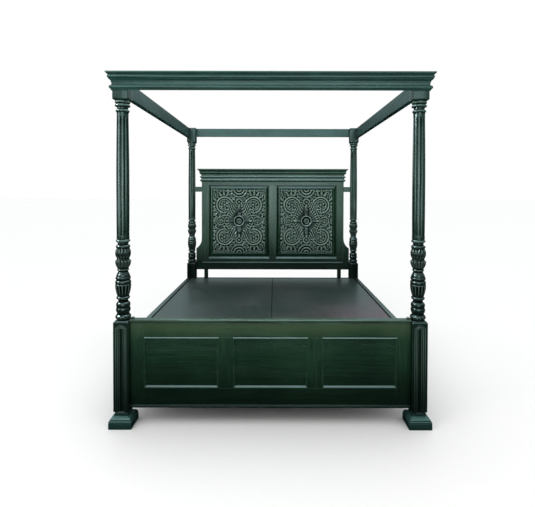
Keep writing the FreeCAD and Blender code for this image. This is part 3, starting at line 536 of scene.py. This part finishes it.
def turned_shell(profile, around, carve):
    """Lathe shell; carve(angle, z) returns how much deeper the surface lies."""
    angles = np.arange(around) * TAU / around
    z = np.repeat(profile[:, 1:], around, 1)
    angle = np.repeat(angles[None, :], len(profile), 0)
    radius = profile[:, :1] - carve(angle, z)
    rings = np.stack([radius * np.cos(angle), radius * np.sin(angle), z], -1)
    return *rings_to_shell(rings), crest(radius, 5, 5, 1.8).ravel()


CORNER = 3.0            # radius of the square blocks' upright edges
SIDE_POINTS = 3         # points along a face that is left plain


def square_section(half, front_points):
    """Rounded square, counterclockwise from the left end of its -Y face."""
    flat = half - CORNER
    section = []
    for quarter in range(4):
        count = front_points if quarter == 0 else SIDE_POINTS
        turn = quarter * math.pi / 2
        local = [(x, -half) for x in np.linspace(-flat, flat, count)]
        for step in (1, 2, 3):
            a = -math.pi / 2 + step * math.pi / 8
            local.append((flat + CORNER * math.cos(a), -flat + CORNER * math.sin(a)))
        for x, y in local:
            section.append((x * math.cos(turn) - y * math.sin(turn),
                            x * math.sin(turn) + y * math.cos(turn)))
    return np.array(section)


def square_rings(profile, front_points=SIDE_POINTS):
    """One rounded square of points for each (half width, height) of a profile."""
    rings = []
    for half, z in profile:
        section = square_section(half, front_points)
        rings.append(np.column_stack([section, np.full(len(section), z)]))
    return np.array(rings)


# ------------------------------------------------------------------ lower posts
LOWER_TURNING = [
    (36, 645, 0), (40, 648, 0), (41, 651, 0), (41, 673, 5.5),  # base ring
    (37, 677, 0), (36, 680, 0), (36, 687, 0), (39, 719, 4.8),  # lower ball
    (38.3, 721, 0), (39.5, 724, 0), (41, 738, 1.2),            # upper ball, in two lobes
    (30.5, 753, 3), (29, 756, 0), (29, 764, 0),
    (33, 769, 0), (33, 787, 6.5), (34, 790, 0),                # torus
    (46.4, 857, 3), (45.5, 860, 0), (43.5, 862, 0),            # vase
    (43.5, 881, 2.6), (40.5, 884, 0), (40.5, 889, 0),          # ring at its rim
    (42, 891, 0), (42, 905, 2.3), (40, 908, 0),                # bell on a second ring
    (34, 925, 1.5), (29, 935, 0.5), (28.5, 940, 0),
    (31, 943, 0), (31, 954, 4), (31.5, 957, 0),                # small ring
    (46, 998, 3.3), (44.5, 1005, 1), (38, 1009, 0),            # leaf cup
    (36.5, 1013, 0), (37, 1019, 0),
    (45.6, 1050, 2.5), (38.4, 1078, 2), (37, 1080, 0),         # bulb
    (37, 1098, 4.8), (32, 1101, 0), (31, 1104, 0),             # ring over the bulb
    (31, JOINT, 0),
]
VASE_LOW, VASE_HIGH = 791.0, 861.0
CUP_LOW, CUP_HIGH = 958.0, 1006.0
BULB_LOW, BULB_HIGH = 1019.0, 1078.0
BULB_LEAVES = ((1058.0, 25.0, 0.5), (1034.0, 22.0, 0.0))       # middle, half height, shift
BASE_RING = 662.0
LEAVES = 14
LEAF_POINTS = 12        # mesh points round the post for each leaf


def carve_vase(angle, z):
    """Hollow flutes with round tops."""
    hollow = dome(np.abs(wave(angle, LEAVES)) / 0.72)
    top = VASE_HIGH - 4 - 9 * (1 - hollow)
    inside = smooth_step(top - z, 0, 3) * smooth_step(z, VASE_LOW + 2, VASE_LOW + 12)
    return 3.6 * hollow * inside * (0.45 + 0.55 * smooth_step(z, VASE_LOW, VASE_HIGH - 20))


def carve_cup(angle, z):
    """Leaves with a rib each, round tips and an eyelet between tips."""
    level = (z - CUP_LOW) / (CUP_HIGH - CUP_LOW)
    across = np.abs(wave(angle, LEAVES, 0.5))
    tip = CUP_HIGH - 1 - 13 * (1 - dome(across))
    between = 4.2 * smooth_step(across, 0.62, 0.98) * smooth_step(level, 0.02, 0.2)
    over_tip = 5.0 * smooth_step(z, tip - 1.5, tip + 1.5)
    vein = 1.5 * np.exp(-(across / 0.14) ** 2)
    vein *= smooth_step(level, 0.1, 0.3) * (1 - smooth_step(z, tip - 12, tip - 5))
    return np.where((level > 0) & (level < 1), np.maximum(between, over_tip) + vein, 0)


def carve_bulb(angle, z):
    """Two staggered rows of pointed leaves."""
    raised = np.full_like(z, -1.0)
    for middle, reach, shift in BULB_LEAVES:
        along_leaf = (z - middle) / reach
        half = 0.96 * np.sqrt(np.clip(1 - np.abs(along_leaf) ** 1.6, 0, 1)) + 1e-6
        share = np.abs(wave(angle, LEAVES, shift)) / half
        leaf = 1 - share ** 2 - 0.35 * np.exp(-(share / 0.16) ** 2)
        raised = np.maximum(raised, np.where((np.abs(along_leaf) < 1) & (share < 1), leaf, -1))
    in_bulb = (z > BULB_LOW - 2) & (z < BULB_HIGH + 1)
    return np.where(in_bulb, 4.0 * (1 - np.clip(raised, -0.1, 1)), 0)


def carve_base_ring(angle, z):
    """Slanting cord."""
    ring = np.exp(-((z - BASE_RING) / 10.0) ** 4)
    return 1.3 * ring * (0.5 + 0.5 * np.cos(angle * LEAVES + (z - BASE_RING) * 0.2))


def carve_lower(angle, z):
    return sum(carve(angle, z) for carve in (carve_vase, carve_cup, carve_bulb, carve_base_ring))


BLOCK_LOW = 78.0
SHOULDER = 626.0
SILL_UNDER, SILL_LOW, SILL_TOP, SILL_HALF = 86.0, 88.0, 97.0, 26.0
PANEL_HALF = 29.0
PANEL_POINTS = 84       # across the sunk panel's face
ARCH_SPRING = 604.0
ARCH_RISE = 16.0
# Depth of the panel's nested mouldings against the distance in from its outline.
MOULDING_INSETS = [0, 1.2, 3.0, 4.5, 7.5, 10.5, 12.0, 13.6, 14.8, 17.0, 19.2, 20.5, 60]
MOULDING_DEPTHS = [0, 4.8, 4.8, 2.2, 1.0, 3.0, 7.0, 7.0, 5.2, 4.4, 6.0, 8.6, 8.6]


def panel_depth(x, z, half):
    """How far the front posts' face lies behind the block's half width at a height.

    Nested mouldings under an ogee arch, over a sloped sill that stands out of the hollowed end.
    """
    if z < SILL_TOP:
        slope = max(z - SILL_LOW, 0) * 0.95 - (HALF_BLOCK - half)
        return np.where((np.abs(x) < SILL_HALF) & (z > SILL_UNDER), slope, 0)
    share = np.clip(np.abs(x) / PANEL_HALF, 0, 1)
    arch = ARCH_SPRING + ARCH_RISE * (0.5 + 0.5 * np.cos(math.pi * share)) ** 0.8
    inset = np.minimum(PANEL_HALF - np.abs(x), (arch - z) * 0.9)
    return np.interp(inset, MOULDING_INSETS, MOULDING_DEPTHS)


def block_shell(panelled):
    """Square block with a hollowed lower end and a rounded shoulder."""
    lower = outline([(39, BLOCK_LOW - 5, 0), (39, 85, 0), (HALF_BLOCK, 96, -3)], 1.2)
    upper = outline([(HALF_BLOCK, SHOULDER, 0), (36, 645.5, 3.4)], 2.5)
    if panelled:
        # close together at the sill and the arch, far apart on the straight sides
        levels = np.concatenate([np.arange(97.2, 124, 1.4), np.arange(130, 560, 30),
                                 np.arange(562, SHOULDER - 1, 1.2)])
    else:
        levels = np.arange(130, SHOULDER - 10, 90)
    straight = np.stack([np.full(len(levels), HALF_BLOCK), levels], 1)
    profile = np.concatenate([lower, straight, upper])
    rings = square_rings(profile, PANEL_POINTS if panelled else SIDE_POINTS)
    depths = np.zeros(rings.shape[:2])
    if panelled:
        for ring, depth, (half, z) in zip(rings, depths, profile):
            on_front = ring[:, 1] < -half + 1e-6
            depth[on_front] = panel_depth(ring[on_front, 0], z, half)
    rings[:, :, 1] += depths
    return *rings_to_shell(rings), crest(-depths, 4, 6, 1.5).ravel()


def make_posts(level, prefix, end, y, shell, material):
    """The left and the right post of one end of the bed."""
    points, faces, ridge = shell
    for side, sign in SIDES:
        name = "post_" + level + "_" + end + "_" + side
        piece = new_piece(prefix + name, points + (sign * POST_X, y, 0), faces, material,
                          ridge)
        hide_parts(name)


def make_lower_posts():
    turning = turned_shell(outline(LOWER_TURNING, 1.3), LEAVES * LEAF_POINTS, carve_lower)
    for end, y in POST_Y.items():
        shell = join_shells([block_shell(end == "front"), turning])
        make_posts("lower", "carved_", end, y, shell, CARVED_POST)


# ------------------------------------------------------------------ upper posts
TOP_BLOCK = 1972.0
UPPER_TURNING = [
    (31, JOINT, 0), (31, 1113, 0), (35, 1116, 0), (35, 1133, 6.5), (37, 1135, 0),  # lowest ring
    (37.3, 1138, 0), (38.5, 1400, 0.3), (36.5, 1730, 0.8), (34.2, 1893, 0.2),      # swollen shaft
    (35, 1902, 0), (36, 1904, 0), (36, 1918, 4.5), (32, 1921, 0),                  # ring and neck
    (32, 1934, 0), (38, 1936, 0), (38, 1950, 7), (37, 1953, 0),                    # first ring
    (38, 1956, 0), (38, 1971, 7), (38, TOP_BLOCK, 0),                              # second ring
]
FLUTES = 10
FLUTE_POINTS = 20       # mesh points round the post for each flute
FLUTE_LOW, FLUTE_HIGH = 1152.0, 1880.0
PLAIN_SHAFT = (1175, 1860)      # heights between which the shaft needs few rings
BLOCK_RIDGE = 0.5       # on the top blocks


def carve_shaft(angle, z):
    """Round-ended flutes that get deeper as they rise."""
    hollow = dome(np.abs(wave(angle, FLUTES)) / 0.62)
    reach = 9.0 * (1 - hollow)
    low_end = smooth_step(z, FLUTE_LOW + reach, FLUTE_LOW + reach + 5)
    high_end = 1 - smooth_step(z, FLUTE_HIGH - reach - 5, FLUTE_HIGH - reach)
    return hollow * low_end * high_end * (1.6 + 1.8 * smooth_step(z, 1200, 1550))


def make_upper_posts():
    fine = outline(UPPER_TURNING, 1.5)
    keep = [index for index, (_, z) in enumerate(fine)
            if z < PLAIN_SHAFT[0] or z > PLAIN_SHAFT[1] or index % 16 == 0]
    turning = turned_shell(fine[keep], FLUTES * FLUTE_POINTS, carve_shaft)
    block = outline([(HALF_BLOCK - 9, TOP_BLOCK, 0), (HALF_BLOCK, TOP_BLOCK + 9, 2.6),
                     (HALF_BLOCK, HEIGHT - 1.5, 0), (HALF_BLOCK - 1.5, HEIGHT, 0)], 3.0)
    rings = square_rings(block)
    plain = np.full(rings.shape[0] * rings.shape[1], BLOCK_RIDGE)
    shell = join_shells([turning, (*rings_to_shell(rings), plain)])
    for end, y in POST_Y.items():
        make_posts("upper", "fluted_", end, y, shell, SHAFT)


# ------------------------------------------------------------------ carved panels
class Relief:
    """Height map of one quarter of a carved panel; u and v run from its centre, in mm."""

    def __init__(self, half_width, half_height, spacing):
        self.u = np.linspace(0, half_width, int(round(half_width / spacing)) + 1)
        self.v = np.linspace(0, half_height, int(round(half_height / spacing)) + 1)
        self.height = np.zeros((len(self.v), len(self.u)))

    def window(self, u, v, reach):
        """The part of the map within reach of (u, v), and its points."""
        i0, i1 = np.searchsorted(self.u, (u - reach, u + reach))
        j0, j1 = np.searchsorted(self.v, (v - reach, v + reach))
        grid_u, grid_v = np.meshgrid(self.u[i0:i1], self.v[j0:j1])
        return (slice(j0, j1), slice(i0, i1)), grid_u, grid_v

    def raise_to(self, where, height):
        self.height[where] = np.maximum(self.height[where], height)

    def leaf(self, u, v, direction, length, width, height=0.8, vein=0.3):
        """Leaf that grows from (u, v); direction in degrees from +u."""
        where, grid_u, grid_v = self.window(u, v, length + 2)
        if grid_u.size == 0:
            return
        c, s = math.cos(math.radians(direction)), math.sin(math.radians(direction))
        t = ((grid_u - u) * c + (grid_v - v) * s) / length
        on_leaf = np.clip(t, 0, 1)
        side = np.abs(-(grid_u - u) * s + (grid_v - v) * c)
        half = width * np.clip(np.sin(math.pi * on_leaf ** 0.75), 0, 1) ** 0.8 + 1e-6
        share = side / half
        body = dome(share) * (0.72 + 0.28 * on_leaf)
        ends = smooth_step(t, 0.05, 0.2) * (1 - smooth_step(t, 0.8, 0.97))
        body = body - vein * np.exp(-(share / 0.22) ** 2) * ends
        self.raise_to(where, np.where((t > 0) & (t < 1) & (share < 1), height * body, 0))

    def bead(self, u, v, radius, height=0.9):
        where, grid_u, grid_v = self.window(u, v, radius + 1)
        if grid_u.size:
            self.raise_to(where, height * dome(np.hypot(grid_u - u, grid_v - v) / radius))

    def stem(self, points, width, height=0.75, groove=0.25):
        """Rounded strap along a polyline, with a groove along its middle."""
        for (u0, v0, w0), (u1, v1, w1) in zip(points, points[1:]):
            middle = ((u0 + u1) / 2, (v0 + v1) / 2)
            length = math.hypot(u1 - u0, v1 - v0)
            where, grid_u, grid_v = self.window(*middle, length / 2 + width + 1)
            if grid_u.size == 0 or length < 1e-6:
                continue
            t = ((grid_u - u0) * (u1 - u0) + (grid_v - v0) * (v1 - v0)) / length ** 2
            t = np.clip(t, 0, 1)
            local = width * (w0 + (w1 - w0) * t)
            off = np.hypot(grid_u - u0 - t * (u1 - u0), grid_v - v0 - t * (v1 - v0)) / local
            body = dome(off) - groove * np.exp(-(off / 0.3) ** 2)
            self.raise_to(where, height * body * (off < 1))

    def fan(self, centre, angles, start, reach, width, height=0.8, vein=0.3):
        """Leaves that radiate from a centre, each from radius start to radius reach."""
        for angle in angles:
            a = math.radians(angle)
            self.leaf(centre[0] + start * math.cos(a), centre[1] + start * math.sin(a), angle,
                      reach - start, width, height, vein)

    def fill_ground(self, eye, spacing=25.0):
        """Small leaves on the ground that is still bare, turning round the scroll's eye."""
        for row in range(int(self.v[-1] / spacing) + 1):
            for column in range(int(self.u[-1] / spacing) + 1):
                u = (column + 0.5 * (row % 2) + 0.3) * spacing
                v = (row + 0.4) * spacing
                where, _, _ = self.window(u, v, 11)
                patch = self.height[where]
                if patch.size and patch.mean() < 0.26:
                    turn = math.degrees(math.atan2(v - eye[1], u - eye[0])) + 65
                    c, s = math.cos(math.radians(turn)), math.sin(math.radians(turn))
                    self.leaf(u - 19 * c, v - 19 * s, turn, 38, 10, 0.75, 0.2)


def spiral(u, v, start, turns, radius_from, radius_to, steps=60):
    """Points (u, v, width share) along a scroll round (u, v)."""
    points = []
    for step in range(steps + 1):
        t = step / steps
        angle = math.radians(start + 360 * turns * t)
        radius = radius_from + (radius_to - radius_from) * t ** 0.8
        points.append((u + radius * math.cos(angle), v + radius * math.sin(angle), 1.0 - 0.55 * t))
    return points


def arc(centre, radius, angle_from, angle_to, taper=0.4, steps=40):
    """Points (u, v, width share) along an arc that narrows towards both ends."""
    points = []
    for step in range(steps + 1):
        t = step / steps
        a = math.radians(angle_from + (angle_to - angle_from) * t)
        share = 1 - taper * abs(2 * t - 1) ** 3
        points.append((centre[0] + radius * math.cos(a), centre[1] + radius * math.sin(a), share))
    return points


def spread(start, step, count):
    """Equally spaced angles for a fan."""
    return [start + step * number for number in range(count)]


def carve_middle(relief):
    """Dished middle with its ringed boss, over whatever leaves reach into it."""
    where, grid_u, grid_v = relief.window(0, 0, 64)
    far = np.hypot(grid_u, grid_v)
    dish = 0.25 + 0.55 * np.clip((far - 26) / 28, 0, 1) ** 1.5
    rim = dome((far - 55) / 7) * 0.95
    boss = np.where(far < 29, 0.55 + 0.4 * dome(far / 21), 0)
    cord = dome((far - 25) / 5) * 0.9
    middle = np.maximum(np.maximum(dish * (far < 57), rim), np.maximum(boss, cord))
    middle -= 0.35 * np.exp(-(far / 7) ** 2)
    relief.height[where] = np.where(far < 57, middle, np.maximum(relief.height[where], rim))


def carve_panel(half_width, half_height, spacing):
    relief = Relief(half_width, half_height, spacing)
    a, b = half_width, half_height
    eye = (0.55 * a, 0.50 * b)

    # the C-scroll: two cords round a leafy flower, open towards the middle of the panel
    relief.stem(arc(eye, 88, -98, 160), 10.5, 0.95, 0.1)
    relief.stem(arc(eye, 62, -80, 140), 7.0, 0.7, 0.1)
    relief.stem(spiral(eye[0] - 66, eye[1] + 34, 60, 0.8, 30, 8), 7.0, 0.85)
    relief.stem(spiral(eye[0] - 18, eye[1] - 72, 150, -0.8, 30, 8), 7.0, 0.85)
    relief.fan(eye, spread(25, 60, 6), 12, 54, 12.5, 0.85, 0.4)
    relief.bead(*eye, 13, 1.0)

    # feathers outside the scroll, towards the edges and the corner
    relief.fan(eye, spread(-66, 19, 12), 102, 165, 13.5, 0.9, 0.2)
    relief.fan(eye, spread(-57, 16, 12), 150, 222, 14.5, 0.85, 0.2)

    # corner leaf
    for step in range(-2, 3):
        relief.leaf(a - 12, b - 12, 231 + step * 24, 88 - 12 * abs(step), 12, 0.95, 0.35)
    relief.bead(a - 15, b - 15, 14, 1.0)

    # top and bottom middle: nested arches with a fan between them
    for radius, width in ((25, 9), (56, 9), (88, 8)):
        relief.stem(arc((0, b), radius, 180, 360, 0.2), width, 0.95, 0.1)
    relief.fan((0, b), spread(196, 19.7, 9), 60, 84, 8, 0.7, 0.2)
    relief.fan((0, b), spread(192, 17.3, 10), 93, 138, 12, 0.85, 0.35)

    # tulip under the arches
    relief.stem(arc((0, 0.60 * b), 33, -60, 240, 0.3), 7.5, 0.95, 0.1)
    relief.bead(0, 0.60 * b, 12, 0.9)
    relief.bead(17, 0.56 * b, 6, 0.8)
    relief.fan((0, 0.60 * b), spread(-8, 30, 3), 40, 78, 10, 0.8)

    # rosettes at the sides, in an open ring
    side = (0.70 * a, 0)
    relief.stem(arc(side, 44, -150, 150, 0.3), 6.5, 0.85, 0.1)
    relief.fan(side, spread(0, 45, 8), 8, 33, 9, 0.9, 0.3)
    relief.bead(*side, 9, 1.0)
    relief.fan(side, spread(20, 25, 5), 52, 92, 11, 0.75)

    # sunburst, then the broad leaves up, down and sideways with their lobes
    relief.fan((0, 0), spread(26, 12, 4), 52, 152, 10, 0.85, 0.3)
    for start, angle, length in ((74, 42, 74), (104, 52, 70), (134, 60, 58)):
        relief.leaf(16, start, angle, length, 13, 0.85, 0.25)
    for start, angle, length in ((66, 40, 54), (92, 34, 50)):
        relief.leaf(start, 10, angle, length, 11, 0.85, 0.25)
    relief.leaf(0, 40, 90, 152, 38, 1.0, 0.08)
    relief.leaf(40, 0, 0, 112, 27, 1.0, 0.08)
    relief.fill_ground(eye)
    carve_middle(relief)

    # a plain sunk line round the carving
    edge = np.minimum((a - relief.u)[None, :], (b - relief.v)[:, None])
    relief.height *= smooth_step(edge, 1.5, 6.0)
    return relief


FRAME_WIDTH = 45.0      # of the bevelled frame that covers the panel's margin
CARVED_DEPTH = 17.0
CARVED_SPACING = 2.1
PLAIN_RIDGE = 0.62      # on the panel's back and rim: neither hollow nor crest
WOBBLE_CELL = 12        # samples between two random values of the carver's hand
WOBBLE = 0.05           # share of the height
SEED = 7


def soft_noise(rng, rows, columns):
    """Random values on a coarse grid, drawn out evenly over rows and columns."""
    coarse = rng.normal(0, 1, (rows // WOBBLE_CELL + 3, columns // WOBBLE_CELL + 3))
    row = np.linspace(0, coarse.shape[0] - 1.001, rows)
    column = np.linspace(0, coarse.shape[1] - 1.001, columns)
    r, c = row.astype(int), column.astype(int)
    fr, fc = (row - r)[:, None], (column - c)[None, :]
    return (coarse[np.ix_(r, c)] * (1 - fr) * (1 - fc) + coarse[np.ix_(r + 1, c)] * fr * (1 - fc)
            + coarse[np.ix_(r, c + 1)] * (1 - fr) * fc + coarse[np.ix_(r + 1, c + 1)] * fr * fc)


def mirrored(quarter):
    """The whole panel's height map from its upper right quarter."""
    upper = np.concatenate([quarter[:, ::-1][:, :-1], quarter], 1)
    return np.concatenate([upper[::-1][:-1], upper])


def both_ways(steps, middle):
    """Places on both sides of a middle, from the steps on one side."""
    return np.concatenate([-steps[::-1][:-1], steps]) + middle


def panel_shell(x, depth, z, back):
    """Carved front over a grid of x and z, with four sides and a flat back.

    Returns its points, its faces, and how many of the points, the last ones, are the back's.
    """
    grid_x, grid_z = np.meshgrid(x, z)
    front = np.stack([grid_x, depth, grid_z], -1).reshape(-1, 3)
    rows, columns = depth.shape
    faces = []
    for row in range(rows - 1):
        for a in range(row * columns, row * columns + columns - 1):
            faces.append((a, a + 1, a + 1 + columns, a + columns))
    rim = list(range(columns)) + [row * columns + columns - 1 for row in range(1, rows)]
    rim += [(rows - 1) * columns + column for column in range(columns - 2, -1, -1)]
    rim += [row * columns for row in range(rows - 2, 0, -1)]
    behind = front[rim].copy()
    behind[:, 1] = back
    count, size = len(front), len(rim)
    for step in range(size):
        nxt = (step + 1) % size
        faces.append((rim[nxt], rim[step], count + step, count + nxt))
    faces.append(tuple(range(count, count + size)))
    return np.concatenate([front, behind]), faces, size


def make_panels():
    for side, sign in SIDES:
        name = "headboard_panel_" + side
        low, high = (np.array(corner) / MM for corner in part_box(name))
        middle = (low + high) / 2
        half_size = (high - low) / 2 - FRAME_WIDTH
        relief = carve_panel(half_size[0], half_size[2], CARVED_SPACING)
        full = mirrored(relief.height)
        x = both_ways(relief.u, middle[0])
        z = both_ways(relief.v, middle[2])
        rng = np.random.default_rng(SEED + (sign > 0))
        full = np.clip(full * (1 + WOBBLE * soft_noise(rng, len(z), len(x))), 0, 1)

        # one more column and row at each edge lie under the frame
        x = np.concatenate([[low[0]], x, [high[0]]])
        z = np.concatenate([[low[2]], z, [high[2]]])
        depth = np.pad(low[1] + CARVED_DEPTH * (1 - full), 1,
                       constant_values=low[1] + CARVED_DEPTH)
        points, faces, behind = panel_shell(x, depth, z, high[1])
        ridge = crest(CARVED_DEPTH * full, 7, 7, 4.0, False)
        ridge = np.pad(ridge, 1, constant_values=PLAIN_RIDGE).ravel()
        ridge = np.concatenate([ridge, np.full(behind, PLAIN_RIDGE)])
        piece = new_piece("carved_" + name, points, faces, CARVED, ridge, 60)
        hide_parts(name)


# ------------------------------------------------------------------ stage and light
FLOOR_REACH = 90.0

# name, place, target, size, radiance, colour, and whether it shows in reflections alone
LIGHTS = (
    ("key", (-2.2, -3.0, 3.3), (0, -0.5, 1.8), (1.4, 1.2), 4, (1, 1, 1), False),
    ("top_card", (0, -0.1, 4.2), (0, -0.1, 0), (3.0, 3.4), 9, (0.82, 0.96, 1.0), True),
    ("front_card", (0.4, -6.5, 3.3), (0.2, 0, 2.1), (6.0, 2.0), 2.4, (0.80, 0.99, 1.0), True),
    ("low_card", (0, -6.5, 1.35), (0, 0, 1.35), (4.4, 1.5), 4.6, (0.95, 1.0, 0.96), True),
    ("left_card", (-4.2, -3.0, 2.2), (-0.9, -0.6, 1.5), (1.2, 2.8), 7, (0.88, 0.97, 1.0), True),
    ("spark", (-3.6, -1.4, 3.3), (0, -0.5, 1.2), (1.4, 1.0), 60, (0.92, 0.98, 1.0), True),
)


def make_floor():
    mesh = bpy.data.meshes.new("studio_floor")
    corners = ((-1, -1), (1, -1), (1, 1), (-1, 1))
    mesh.from_pydata([(x * FLOOR_REACH, y * FLOOR_REACH, 0) for x, y in corners], [],
                     [(0, 1, 2, 3)])
    floor = bpy.data.objects.new("studio_floor", mesh)
    SCENE.collection.objects.link(floor)
    mesh.materials.append(floor_material())
    floor.visible_glossy = False


def make_world():
    """White for the camera; for the light on the bed, brighter overhead and dark low behind it."""
    world = bpy.data.worlds.new("studio")
    SCENE.world = world
    world.use_nodes = True
    n = Nodes(world.node_tree)
    direction = n.split(n.add("TexCoord").outputs["Generated"])
    up, back = direction["Z"], direction["Y"]
    path = n.add("LightPath").outputs

    sky = n.math("MULTIPLY", n.ramp(up, 0.0, 0.9, 0.35, 1.5), n.ramp(up, -0.08, 0.02, 0.3, 1.0))
    behind = n.math("MULTIPLY", n.ramp(back, 0.05, 0.5), n.ramp(up, 0.12, 0.24, 1.0, 0.0))
    behind = n.math("MULTIPLY", behind, path["Is Glossy Ray"])
    sky = n.math("MULTIPLY", sky, n.ramp(behind, 0.0, 1.0, 1.0, 0.1))
    background = n.tree.nodes["Background"].inputs
    n.put(background["Strength"], n.mix(path["Is Camera Ray"], sky, 1.0, "FLOAT"))
    n.put(background["Color"], n.mix(path["Is Glossy Ray"], (1.0, 1.0, 1.0, 1.0),
                                     (0.74, 0.98, 1.0, 1.0)))


def make_lights():
    for name, place, target, size, radiance, colour, sheen_only in LIGHTS:
        data = bpy.data.lights.new(name, "AREA")
        data.shape = "RECTANGLE"
        data.size, data.size_y = size
        data.energy = radiance * math.pi * size[0] * size[1]
        data.color = colour
        light = bpy.data.objects.new(name, data)
        SCENE.collection.objects.link(light)
        light.location = place
        aim = Vector(target) - Vector(place)
        light.rotation_euler = aim.to_track_quat("-Z", "Y").to_euler()
        light.visible_camera = False
        light.visible_diffuse = not sheen_only


make_camera()
finish_cad_nodes()
make_lower_posts()
make_upper_posts()
make_panels()
make_floor()
make_world()
make_lights()
SCENE.view_settings.view_transform = "Standard"
